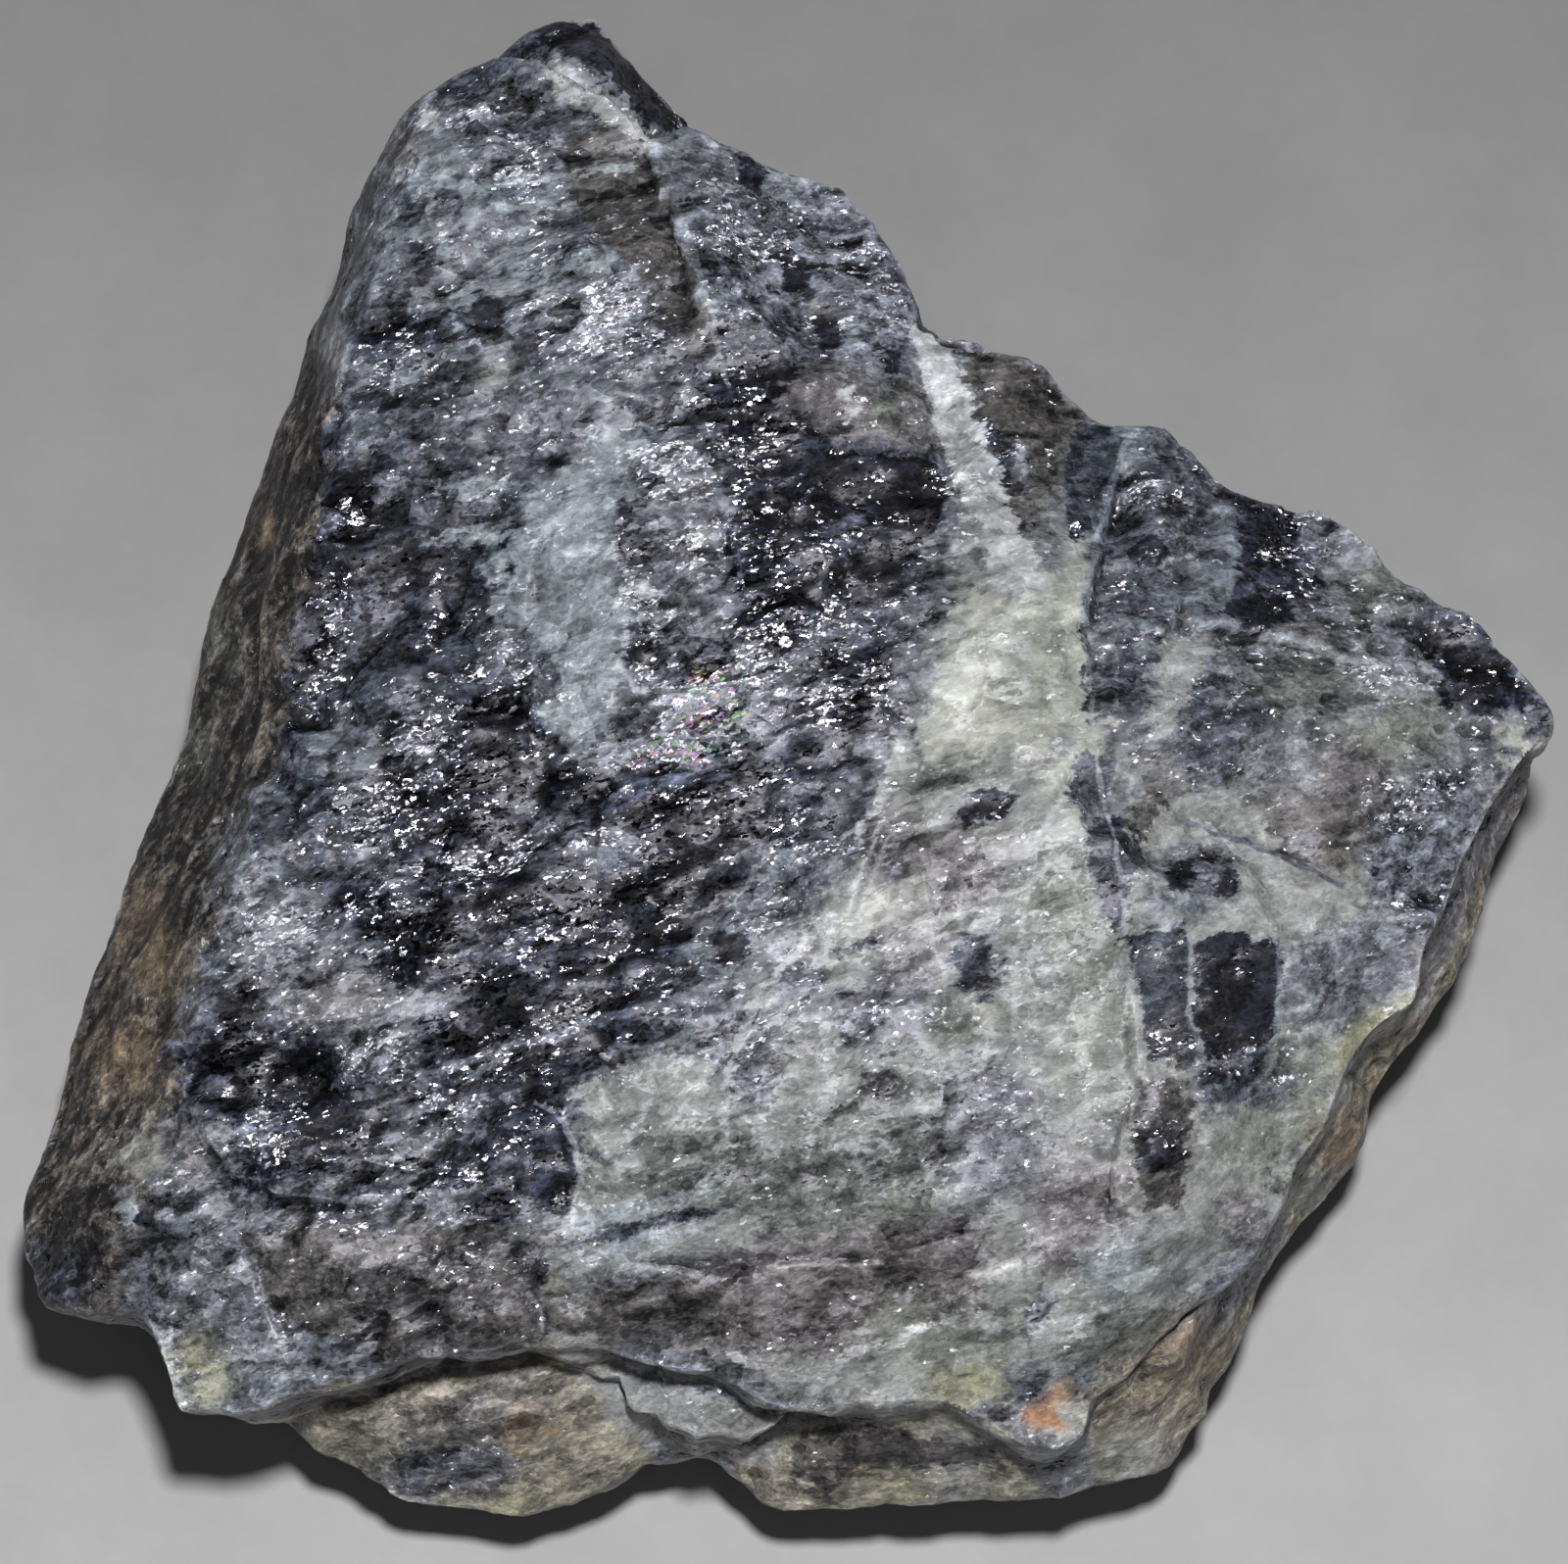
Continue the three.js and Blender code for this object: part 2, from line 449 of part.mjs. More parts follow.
// Pairs of points that hold each step's edge and its foot
function stepPoints(steps, outline) {
  const points = [];
  for (const { line, drop } of steps) {
    for (let at = 1; at < line.length; at++) {
      const [from, to] = [line[at - 1], line[at]];
      const across = new THREE.Vector3(to.y - from.y, from.x - to.x, 0);
      across.setLength(STEP_EDGE * Math.sign(drop));
      for (const point of walked(from, to, FACE_SPACING)) points.push(point, point.clone().add(across));
    }
  }
  return points.filter((point) => inside(outline, point.x, point.y)
    && isClear(point, outline, FACE_SPACING * STEP_CLEAR_SHARE));
}

function solid(wasm, { points, faces }) {
  const mesh = new wasm.Mesh({
    numProp: 3,
    vertProperties: new Float32Array(points.flatMap((point) => point.toArray())),
    triVerts: new Uint32Array(faces.flat()),
  });
  return new wasm.Manifold(mesh);
}

// The broad face's slab, with the weathered left side
function upperSlab() {
  const { height, steps } = faceHeight();
  const rim = [...FACE_RIM, ...SIDE_FOOT];
  const extra = stepPoints(steps, closedOutline(rim, FACE_SPACING));
  return slab({
    rim,
    height,
    rows: SLAB_ROWS,
    floor: SLAB_FLOOR,
    spacing: FACE_SPACING,
    extra,
    roughness: SLAB_ROUGHNESS,
  });
}

// A slab whose lid is a bent plate with some unevenness
function ledge({ rim, points, rows, floor, top, spacing, roughness }) {
  const plate = plateThrough([...rim, ...points].map(placed));
  const height = (x, y) => Math.min(plate(x, y), top) + roughness * unevenness(x, y, floor + 2.6, 0.4);
  return slab({ rim, height, rows, floor, spacing, roughness });
}

// A block whose near side is the plane of a cut
function cutBlock([column, row, height, compass, lean]) {
  const turn = new THREE.Euler(0, THREE.MathUtils.degToRad(lean), THREE.MathUtils.degToRad(compass), 'ZYX');
  const block = new THREE.BoxGeometry(CUT_SIZE, CUT_SIZE * 2, CUT_SIZE * 2);
  for (const name of ['normal', 'uv']) block.deleteAttribute(name);
  const merged = mergeVertices(block.translate(CUT_SIZE / 2, 0, 0));
  const at = placed([column, row, height]);
  merged.applyMatrix4(new THREE.Matrix4().makeRotationFromEuler(turn).setPosition(at));
  const corners = merged.getAttribute('position');
  const corner = (_, index) => new THREE.Vector3().fromBufferAttribute(corners, index);
  const points = Array.from({ length: corners.count }, corner);
  return { points, faces: [Array.from(merged.index.array)] };
}

const wasm = await Module();
wasm.setup();

const body = {
  rim: BODY_RIM,
  points: BODY_POINTS,
  rows: BODY_ROWS,
  floor: BODY_FLOOR,
  top: LEDGE_TOP,
  spacing: BODY_SPACING,
  roughness: 0.6,
};
const shelf = {
  rim: SHELF_RIM,
  points: SHELF_POINTS,
  rows: SHELF_ROWS,
  floor: SHELF_FLOOR,
  top: LEDGE_TOP,
  spacing: SMALL_SPACING,
  roughness: 0.2,
};
const knob = {
  rim: KNOB_RIM,
  points: KNOB_POINTS,
  rows: KNOB_ROWS,
  floor: KNOB_FLOOR,
  top: KNOB_TOP,
  spacing: SMALL_SPACING,
  roughness: 0.4,
};
const pieces = [upperSlab(), ledge(body), ledge(knob)].map((piece) => solid(wasm, piece));
const trimmed = SIDE_CUTS.reduce(
  (sum, cut) => sum.subtract(solid(wasm, cutBlock(cut))),
  pieces.reduce((sum, piece) => sum.add(piece)),
);
const stone = trimmed.add(solid(wasm, ledge(shelf)));
const { vertProperties, triVerts } = stone.getMesh();

const geometry = new THREE.BufferGeometry();
geometry.setAttribute('position', new THREE.BufferAttribute(vertProperties, 3));
geometry.setIndex(new THREE.BufferAttribute(triVerts, 1));
geometry.computeBoundingBox();
const middle = geometry.boundingBox.getCenter(new THREE.Vector3());
geometry.translate(-middle.x, -middle.y, -geometry.boundingBox.min.z);
geometry.computeVertexNormals();

const material = new THREE.MeshStandardMaterial({
  color: STONE_COLOUR,
  roughness: STONE_ROUGHNESS,
  metalness: 0,
});
const mesh = new THREE.Mesh(geometry, material);
mesh.name = 'labradorite_chunk';

const group = new THREE.Group();
group.add(mesh);
export default group;
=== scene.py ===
import itertools
import math
from functools import partial

import bmesh
import bpy
import numpy as np
from mathutils import Matrix, Vector, noise


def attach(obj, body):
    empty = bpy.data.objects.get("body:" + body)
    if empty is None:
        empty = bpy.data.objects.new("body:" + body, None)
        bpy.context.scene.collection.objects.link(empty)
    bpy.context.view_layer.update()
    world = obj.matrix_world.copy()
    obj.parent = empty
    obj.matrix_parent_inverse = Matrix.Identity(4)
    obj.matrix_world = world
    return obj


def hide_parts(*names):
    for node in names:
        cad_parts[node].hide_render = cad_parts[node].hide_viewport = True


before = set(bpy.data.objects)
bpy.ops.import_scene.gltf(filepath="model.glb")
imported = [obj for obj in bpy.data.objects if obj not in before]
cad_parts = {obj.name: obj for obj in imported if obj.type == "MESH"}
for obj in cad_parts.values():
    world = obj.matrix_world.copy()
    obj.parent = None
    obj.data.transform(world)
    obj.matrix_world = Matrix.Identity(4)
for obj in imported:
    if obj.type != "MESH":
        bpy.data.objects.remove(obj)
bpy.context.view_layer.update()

NODE = "labradorite_chunk"
MM = 0.001

# The photograph's frame, and where the chunk lies in it.
PHOTO_COLUMNS, PHOTO_ROWS = 1600, 1596
CHUNK_LEFT, CHUNK_RIGHT = 19, 1586
CHUNK_MIDDLE = (802.5, 791.5)
CHUNK_WIDTH = 72.0
PIXEL = CHUNK_WIDTH / (CHUNK_RIGHT - CHUNK_LEFT)
VIEW_ELEVATION = math.radians(72)
VIEW_DISTANCE = 520.0
SIGHT_POINT = Vector((-0.116, -1.465, 12.0))
SENSOR = 36.0

AHEAD = Vector((0, math.cos(VIEW_ELEVATION), -math.sin(VIEW_ELEVATION)))
ABOVE = Vector((0, math.sin(VIEW_ELEVATION), math.cos(VIEW_ELEVATION)))
ASIDE = Vector((1, 0, 0))
EYE = SIGHT_POINT - AHEAD * VIEW_DISTANCE

# Mesh fineness in millimetres: finer where it faces the camera, from 0 for edge-on to 1 for squarely.
FINE_EDGE = 0.45
PLAIN_EDGE = 0.93
FINE_WHERE_FACING = (0.25, 0.5)
SHOWN_WHERE_FACING = (0.06, 0.22)
WELD = 0.12
SHARP_ANGLE = math.radians(24)

# The crystal's cleavage shows as lines that rise to the right, the weathered side's grain steeper.
CLEAVAGE_ANGLE = math.radians(16)
SKIN_ANGLE = math.radians(72)

# Flat facets and clouds in the surface: size, stretch and height, in millimetres.
CLEAN_FACETS = [(4.2, 1.5, 0.09), (1.7, 1.8, 0.13), (0.9, 1.5, 0.1)]
SKIN_FACETS = [(3.6, 1.6, 0.14), (1.5, 1.9, 0.15)]
SKIN_CLOUDS = (0.9, 2.4, 0.1)

# How level the surface has to be for clean cleavage, and from where it counts as the underside.
LEVEL_EDGE = (0.55, 0.85)
UNDERSIDE_EDGE = (-0.9, -0.7)
SKIN_ON_SIDES = 0.6

# Crystal cells a millimetre, from whole domains to the finest grain.
DOMAIN_CELLS = 0.42
COARSE_CELLS = 1.3
MIDDLE_CELLS = 3.6
FINE_CELLS = 9.0


def rows(table):
    """The rows of a table in text: each starts with its look, and points are written column,row."""
    found = []
    for part in table.split():
        if part.isalpha():
            found.append([part])
        else:
            numbers = tuple(float(number) for number in part.split(","))
            found[-1].append(numbers if len(numbers) > 1 else numbers[0])
    return found


# Each look: colour as it shows in the photo, glints, mottling, weathered skin.
LOOKS = {
    "glass": ((19, 21, 29), 0.75, 0.5, 0.0),
    "ink": ((18, 19, 25), 0.4, 0.35, 0.0),
    "slate": ((46, 50, 59), 0.4, 0.65, 0.0),
    "smoke": ((66, 64, 63), 0.3, 0.6, 0.0),
    "steel": ((84, 88, 96), 0.45, 0.8, 0.0),
    "ash": ((104, 107, 113), 0.5, 0.8, 0.0),
    "frost": ((88, 91, 100), 0.85, 1.0, 0.0),
    "ice": ((137, 144, 149), 0.35, 0.6, 0.0),
    "milk": ((177, 179, 182), 0.4, 0.6, 0.0),
    "wax": ((142, 144, 143), 0.35, 0.5, 0.0),
    "cream": ((178, 180, 172), 0.3, 0.4, 0.0),
    "sage": ((130, 133, 126), 0.35, 0.5, 0.0),
    "moss": ((86, 90, 86), 0.3, 0.6, 0.0),
    "plum": ((106, 103, 105), 0.4, 0.7, 0.0),
    "lime": ((150, 149, 122), 0.25, 0.5, 0.2),
    "ochre": ((124, 108, 86), 0.1, 0.5, 0.6),
    "rust": ((172, 130, 96), 0.15, 0.35, 0.3),
    "bark": ((62, 58, 54), 0.15, 0.9, 1.0),
    "earth": ((128, 121, 106), 0.25, 0.8, 0.7),
    "shelf": ((132, 127, 115), 0.25, 0.75, 0.5),
}

# Broad parts of the visible face: look, softness of the edge and outline, in photo pixels. The smoke band
# on the front ledge just under the lip, from column 812 to 1036, is painted shade under the overhang.
REGIONS = rows("""
plum 20 1180,640 1360,620 1600,740 1600,900 1400,1100 1180,1000
steel 14 430,100 540,60 640,100 690,170 740,360 640,400 560,470 440,470 340,440 340,340 370,200
steel 20 355,190 440,175 520,300 520,420 440,470 330,440 335,320
smoke 8 568,132 620,130 666,156 690,212 712,288 734,362 700,350 650,276 598,234 574,190
slate 8 444,97 480,61 515,46 553,23 556,48 510,80 474,100
ink 6 545,18 620,12 652,52 684,92 712,130 658,136 633,92 602,66 551,50
wax 7 543,61 577,66 612,92 643,112 673,148 663,156 628,133 587,107 561,92
ash 10 663,133 760,145 870,190 925,290 880,250 800,196 690,200
frost 12 690,185 760,190 850,205 928,300 950,350 880,372 800,356 745,366 716,265
glass 12 738,372 806,398 862,452 958,466 970,540 902,612 912,690 900,740 838,778 792,852 756,905 700,965
    600,1000 470,1025 392,1000 336,950 338,860 402,770 452,700 520,690 560,760 640,800 690,740 690,640
    640,560 650,470 700,420
frost 16 520,292 600,286 680,300 700,350 640,352 560,345
frost 16 668,440 720,430 745,520 760,640 720,690 670,640 655,540
frost 22 640,660 760,650 815,690 800,780 720,800 640,790
slate 14 380,450 440,440 460,500 530,500 540,540 500,600 505,650 470,700 440,745 400,765 355,745 362,690
    375,620 370,520
ice 9 612,403 648,423 658,459 643,515 633,561 638,612 648,663 633,714 612,755 582,776 566,730 571,679
    541,648 510,638 500,592 510,556 541,531 551,490 577,459 592,429
glass 10 335,440 372,440 384,560 352,640 338,700 300,790 276,770 300,680 318,560
ink 6 362,628 378,602 408,571 449,559 467,561 459,582 429,607 398,633 372,640
slate 6 418,510 449,503 490,505 520,492 531,510 526,536 490,536 449,541 418,531
wax 30 945,345 1030,577 1115,560 1110,720 1190,800 1300,800 1480,880 1440,1040 1330,1200 1220,1330 1060,1400
    900,1440 740,1385 560,1360 560,1240 600,1180 735,1100 760,960 870,850 930,740 960,620 980,560
cream 22 985,600 1050,590 1105,620 1112,700 1115,760 1090,800 1040,775 960,770 910,800 930,740 965,680
plum 14 800,383 870,375 940,395 965,460 860,452 800,420
ink 8 800,470 830,462 876,464 953,468 964,510 948,541 912,536 892,510 850,510 830,550 800,562 770,540
    775,490
smoke 10 979,357 1055,362 1106,423 1127,459 1086,490 1086,551 1045,551 1019,556 1004,474 984,408
slate 8 1100,430 1150,440 1140,500 1110,551 1086,551 1090,480
steel 6 1157,444 1208,459 1262,500 1262,561 1256,643 1188,648 1137,664 1135,715 1112,740 1104,638 1116,577
    1127,510
glass 10 1249,500 1300,497 1331,520 1335,590 1330,640 1290,640 1256,610
ash 14 1331,515 1400,545 1463,620 1500,680 1440,700 1370,670 1331,640
glass 12 1450,625 1520,650 1580,715 1570,745 1510,730 1458,690
ash 14 1188,650 1290,648 1370,670 1450,700 1520,735 1540,780 1480,860 1400,830 1300,800 1210,800 1180,740
frost 14 1400,790 1500,780 1515,830 1489,938 1440,960 1397,900
ash 16 1300,963 1400,930 1460,960 1440,1040 1380,1055 1305,1070
wax 8 1193,645 1234,645 1226,690 1200,740 1160,760 1180,700
glass 12 224,989 255,999 276,1019 265,1045 327,1060 347,1086 337,1116 367,1132 388,1157 378,1198 332,1203
    286,1208 255,1223 230,1188 219,1147 204,1116 189,1086 204,1055 224,1045
ash 18 240,885 300,900 345,950 400,1010 470,1030 560,1020 500,1075 420,1110 350,1070 300,1040 262,1010
    228,960
glass 16 440,1040 560,1010 700,975 712,1035 600,1080 580,1130 500,1150 440,1120
glass 7 490,1157 515,1142 556,1128 582,1150 588,1198 584,1239 551,1234 510,1250 470,1240 449,1208 459,1178
frost 12 286,1234 327,1203 378,1203 439,1172 424,1218 357,1229 306,1249
smoke 18 380,1240 480,1250 560,1260 560,1370 470,1380 380,1390
smoke 8 245,1259 286,1254 357,1244 378,1259 392,1310 372,1360 327,1366 286,1345 260,1315
ash 14 158,1262 204,1262 245,1290 275,1340 301,1382 280,1410 200,1430 178,1440 162,1370 148,1310
slate 12 286,790 360,770 367,850 340,925 290,930 262,870
wax 12 585,1110 690,1060 735,1080 740,1150 660,1165 600,1190
moss 20 655,1172 704,1160 770,1150 800,1160 900,1130 960,1140 980,1200 940,1245 860,1255 780,1235 690,1235
    640,1205
plum 14 600,1325 690,1300 800,1262 900,1248 990,1236 1012,1290 1000,1330 930,1352 880,1384 800,1402 740,1388
    690,1374 620,1372
ash 26 953,1060 1040,1045 1065,1140 1060,1220 1000,1235 960,1180
plum 18 1045,1215 1100,1185 1160,1195 1157,1240 1110,1300 1060,1310
sage 22 1045,877 1110,880 1137,960 1150,1090 1100,1150 1060,1050
slate 6 1150,948 1208,956 1216,1012 1218,1078 1172,1084 1160,1010
ink 4 1217,964 1240,950 1298,956 1303,1010 1301,1064 1262,1074 1222,1074
smoke 6 1160,1104 1206,1100 1214,1160 1208,1226 1168,1232 1158,1170
steel 7 1098,772 1140,776 1136,812 1106,836 1094,806
slate 6 1108,846 1152,852 1150,920 1142,962 1126,930
bark 9 325,335 332,459 320,561 304,663 277,765 246,830 224,861 207,953 192,1004 176,1086 170,1157 150,1218
    122,1320 90,1360 0,1320 0,1200 60,1040 150,820 180,690 220,530 280,390
earth 7 1572,790 1540,850 1489,942 1453,1030 1396,1070 1364,1130 1314,1238 1284,1314 1238,1364 1182,1406
    1120,1430 1110,1480 1150,1600 1340,1450 1420,1200 1600,960 1620,800
shelf 8 250,1440 330,1416 440,1394 560,1374 640,1440 680,1500 640,1560 540,1580 400,1570
wax 7 556,1366 600,1362 660,1396 740,1424 800,1462 790,1500 720,1490 660,1470 620,1450 590,1400
shelf 12 740,1440 860,1440 960,1440 1030,1450 1060,1500 1040,1600 820,1600 740,1540
smoke 8 812,1462 900,1454 950,1470 1010,1474 1036,1500 960,1496 880,1500 840,1520 806,1500
""")

# Small patches: look, column, row, half width, half height, lean in degrees, softness.
PATCHES = rows("""
milk 439 122 13 12 0 6
ice 457 146 26 34 -20 14
plum 402 152 26 24 20 10
steel 560 108 60 26 -25 14
frost 505 112 48 16 10 12
slate 512 196 34 14 0 10
slate 372 204 15 20 -20 6
ash 470 240 70 40 15 20
ink 434 276 9 13 20 5
ink 500 321 15 17 10 6
moss 515 378 18 18 15 4
ice 505 300 60 9 12 8
slate 450 345 30 24 10 12
glass 398 340 36 22 10 12
ink 376 410 24 13 10 6
milk 340 352 15 22 -10 9
frost 362 470 14 26 10 8
ink 352 505 12 20 -15 6
frost 336 530 9 14 0 5
ink 352 575 13 18 10 6
frost 380 540 10 14 0 5
ash 560 420 60 24 15 16
ice 480 496 34 8 12 6
ice 480 548 46 9 12 7
ink 648 545 16 28 -10 8
milk 661 607 7 8 30 3
ink 648 655 14 20 0 8
slate 560 470 20 10 12 7
ink 495 735 42 26 10 10
frost 436 765 30 34 -30 14
frost 440 890 46 22 20 14
frost 380 880 26 34 30 14
frost 560 860 60 30 16 14
ash 694 560 50 80 10 20
ash 640 870 40 24 16 16
frost 520 960 44 16 16 12
ink 720 870 52 46 20 14
ink 742 968 18 16 0 6
ink 530 915 30 22 0 10
ink 250 1020 22 28 20 10
ink 330 1150 44 26 30 12
frost 262 1160 22 34 -20 12
frost 390 1080 34 20 -10 12
ash 290 945 48 26 10 16
plum 350 1020 44 18 10 14
ash 520 1190 22 14 0 8
frost 470 1130 26 18 0 10
ash 470 1286 50 9 8 7
ink 450 1338 22 20 0 10
ink 540 1290 14 22 10 8
lime 205 1400 28 38 20 16
milk 176 1400 7 36 14 4
ink 149 1240 9 20 -8 5
ice 128 1232 12 26 20 8
wax 150 1180 40 30 30 16
plum 190 1180 22 26 0 12
lime 564 1322 13 20 0 8
lime 572 1382 22 12 10 7
frost 765 1070 26 52 10 14
ice 640 1236 74 8 14 7
slate 640 1256 70 7 14 6
ice 640 1272 70 7 14 6
ash 640 1300 80 12 14 9
frost 880 240 40 30 -30 16
ink 812 285 13 20 10 5
ink 842 338 14 20 10 6
ink 768 180 15 18 0 7
ink 909 373 8 11 0 4
ink 780 380 26 16 20 8
milk 868 408 13 10 -30 6
moss 905 420 22 20 0 10
ink 892 588 30 24 20 8
frost 870 545 20 28 20 12
ink 800 430 24 24 0 10
frost 860 640 50 22 16 14
frost 820 700 36 40 16 14
ink 870 690 34 20 20 10
glass 1010 470 22 34 -10 8
frost 1040 480 14 30 0 8
ash 1095 480 16 44 -6 10
ice 1080 545 30 30 0 14
ink 1120 440 10 12 20 5
steel 1170 520 26 40 10 12
ink 1176 560 14 12 0 8
steel 1150 610 24 20 0 10
moss 1230 560 22 40 0 14
frost 1290 600 22 9 8 5
ink 1282 624 24 12 0 6
frost 1350 545 14 26 20 8
moss 1400 600 30 26 30 14
slate 1228 745 30 50 10 16
ink 1280 730 20 14 0 10
moss 1330 700 50 26 15 16
sage 1420 750 60 36 20 22
plum 1380 790 40 26 0 16
cream 1548 756 22 32 20 8
moss 1060 672 26 40 0 22
sage 1055 680 34 50 0 22
slate 840 830 44 60 20 16
steel 800 900 34 44 20 14
moss 960 800 50 20 14 12
ink 1012 820 26 14 14 2
ink 986 832 15 7 14 2
smoke 912 866 34 40 8 14
ink 915 890 14 14 0 9
plum 980 880 44 40 10 20
slate 1137 872 28 34 -8 7
slate 1140 912 12 24 0 6
ash 1140 820 22 24 0 10
smoke 1172 830 12 30 -20 7
steel 1215 900 46 36 0 14
ink 1205 893 13 15 0 6
ink 1228 873 9 9 0 5
frost 1250 985 40 12 8 6
glass 1258 1030 38 36 0 6
ink 1250 905 12 10 0 6
smoke 1350 850 44 44 10 12
slate 996 985 24 32 40 7
ash 1000 960 20 12 40 7
ink 874 964 12 4 10 3
ink 892 966 5 5 0 3
moss 846 994 16 4 12 3
ink 862 1012 4 3 0 2
cream 900 930 40 26 20 16
plum 926 980 22 40 20 18
frost 900 1030 44 34 20 18
frost 810 1000 24 44 30 14
wax 1050 1010 40 60 10 24
smoke 590 1345 56 28 10 14
smoke 880 1330 66 28 -14 14
smoke 720 1340 50 22 0 12
smoke 930 1306 50 22 -10 12
milk 1078 1352 24 14 10 6
milk 1010 1350 16 10 -20 6
sage 985 1050 60 30 20 22
moss 896 1106 26 24 0 10
ink 898 1108 16 17 20 4
moss 870 1130 60 12 14 10
slate 1178 972 22 26 0 8
smoke 1196 1044 22 44 4 8
smoke 1184 1150 24 34 4 9
ink 1186 1178 20 22 0 8
steel 1270 1106 50 30 6 10
slate 1250 1100 26 20 0 10
frost 1236 1080 28 9 -6 6
sage 1340 1096 34 42 30 16
lime 1412 1040 34 13 30 9
lime 1376 1070 24 12 40 8
wax 1262 1210 46 60 10 20
sage 1290 1160 40 30 30 16
milk 1322 1138 7 7 0 4
plum 1275 1240 18 30 30 12
ice 1160 1290 60 36 24 14
moss 1190 1270 26 10 20 6
moss 1130 1370 60 22 20 14
sage 960 1376 76 42 -14 12
lime 985 1415 40 20 10 12
cream 1060 1340 30 26 0 7
frost 1060 1336 12 22 -30 5
wax 850 1410 80 22 -4 10
rust 1072 1436 26 13 50 7
cream 1090 1456 26 22 0 7
rust 1068 1450 9 20 60 4
ochre 1200 1380 50 30 30 20
earth 1150 1420 50 30 30 16
wax 1150 1490 50 30 20 20
lime 925 1520 36 16 20 9
wax 980 1480 30 34 0 14
ice 975 1540 30 16 0 10
moss 1062 1500 20 16 0 8
ochre 880 1550 60 9 8 6
ochre 538 1450 26 18 0 10
slate 450 1500 60 26 10 20
lime 500 1545 60 10 14 8
plum 480 1440 70 20 14 16
ochre 610 1390 14 20 -40 8
lime 650 1450 20 12 -30 7
ochre 1368 1170 20 34 30 12
ochre 1420 1110 20 14 40 10
moss 1330 1210 20 30 30 10
ochre 270 540 10 26 12 8
ochre 150 960 30 60 18 26
ochre 130 1080 34 40 18 24
moss 200 760 16 50 14 16
slate 60 1300 36 40 10 16
moss 226 640 12 60 14 12
""")

# Veins and lines: look, full width, softness, and the points that they follow.
STREAKS = rows("""
milk 46 8 950,345 973,418 1004,510 1034,590
ice 14 6 966,352 990,430 1016,520
cream 26 12 1096,560 1092,620 1104,690 1112,760 1100,830
frost 8 5 250,1274 268,1320 301,1382
milk 10 7 740,1150 745,1090 760,1040 790,990 850,930
milk 8 6 880,850 900,800 925,760 950,740
cream 10 6 1228,1070 1290,1056 1350,1048
ice 12 8 380,170 470,190 560,176 640,168
ice 10 8 400,240 480,222 590,206
ice 9 7 430,306 520,286 620,262
ice 8 7 440,180 452,260 470,340
ice 8 7 476,190 490,262 510,330
slate 9 6 412,190 425,240 436,290
frost 10 8 180,1180 166,1240 150,1300
milk 7 4 740,1385 800,1404 880,1386 930,1356 1010,1332
wax 9 5 556,1128 584,1152 592,1200 586,1244
""")

# Thin lines: look, half width, and the points that they follow. Each look lies over the one before.
THREAD_LOOKS = ("ice", "milk", "slate")
THREADS = rows("""
ice 5.5 434,1096 520,1068 620,1040 740,1009
ice 3.5 714,958 750,915 786,866
ice 3.5 668,140 690,190 708,256 724,320 738,380
ice 3.5 1157,444 1127,510 1121,566 1106,612 1110,663 1116,719
ice 3 1134,662 1200,648 1290,650 1372,672 1450,704
ice 3 1212,950 1216,1010 1220,1070
ice 3 1299,962 1304,1010 1306,1060
ice 3 735,1100 742,1040 738,1009
ice 2.5 520,300 470,309 420,318
ice 2.5 600,520 540,520 470,540
ice 3 590,1252 650,1236 730,1222
ice 3 584,1282 650,1262 740,1244
ice 3 600,1306 680,1284 760,1266
milk 3.5 1040,1050 1036,960 1050,900 1060,860 1090,800
milk 2.5 948,905 952,960 968,1010
milk 2.5 870,850 920,830 1000,800
milk 3 740,1150 745,1090 760,1040 790,990 850,930 880,900
milk 2.5 1116,719 1116,780 1140,850 1150,940
milk 3 945,345 973,418 1004,510 1034,590
milk 2.5 556,1128 584,1152 592,1200 586,1244
slate 3 1223,841 1290,868 1361,902
slate 2.5 590,1268 650,1250 736,1232
""")

# How far from its line a thread ends and how softly, in photo pixels, how far that wanders, and its cover.
THREAD_REACH = 16.0
THREAD_FADE = 6.0
THREAD_WOBBLE = 26.0
THREAD_COVER = 0.5

# How strongly the patches and streaks cover, and how square the ovals are: 2 for an ellipse.
PATCH_COVER = 0.85
STREAK_COVER = 0.8
OVAL_POWER = 2.6

# Outlines wander: size of the wave and how far it reaches, in photo pixels.
RAGGED = ((50.0, 9.0), (16.0, 5.0))

# Crystal blocks break up the edges of soft patches that are wider than this each way.
BLOCKY_PATCH = 15
FINE_BLOCKS = 0.5
BROAD_BLOCKS = 1.5
BLOCK_STRETCH = 1.7

# Shapes in these looks and no softer than this have a crisp border. The last look lies on top.
CRISP_LOOKS = ("wax", "steel", "smoke", "slate", "glass", "ice", "ink", "milk")
CRISP_SOFTNESS = 8
CRISP_EDGE = 3.0
CRISP_WOBBLE = 44.0
CRISP_COVER = 0.9

# How far outside every shape the places count that the photo doesn't show, in photo pixels.
HIDDEN_DEPTH = 300.0

# Columns of the paint, after the three of its hue.
TONE, GLINTS, MOTTLING, SKIN = 3, 4, 5, 6

# A vertex this far above its neighbours, in millimetres, counts as a full ridge, and this far below them as
# a full crease, where the colour gets painted shade.
RIDGE_HEIGHT = 0.05

# Looks where the photo doesn't reach: from which level of its clouds, and its share of the broad
# and the narrow clouds.
HIDDEN_LOOKS = [
    ("shelf", 0.05, 1, 0), ("slate", -0.3, -1, 0), ("bark", 0.25, 0, 1), ("wax", 0.45, 1, 0.4),
    ("glass", 0.4, 0, -1), ("ochre", 0.5, -0.5, 1),
]
HIDDEN_SOFTNESS = 0.25
HIDDEN_COVER = 0.8
BROAD_CLOUDS = 9.0
NARROW_CLOUDS = 3.5

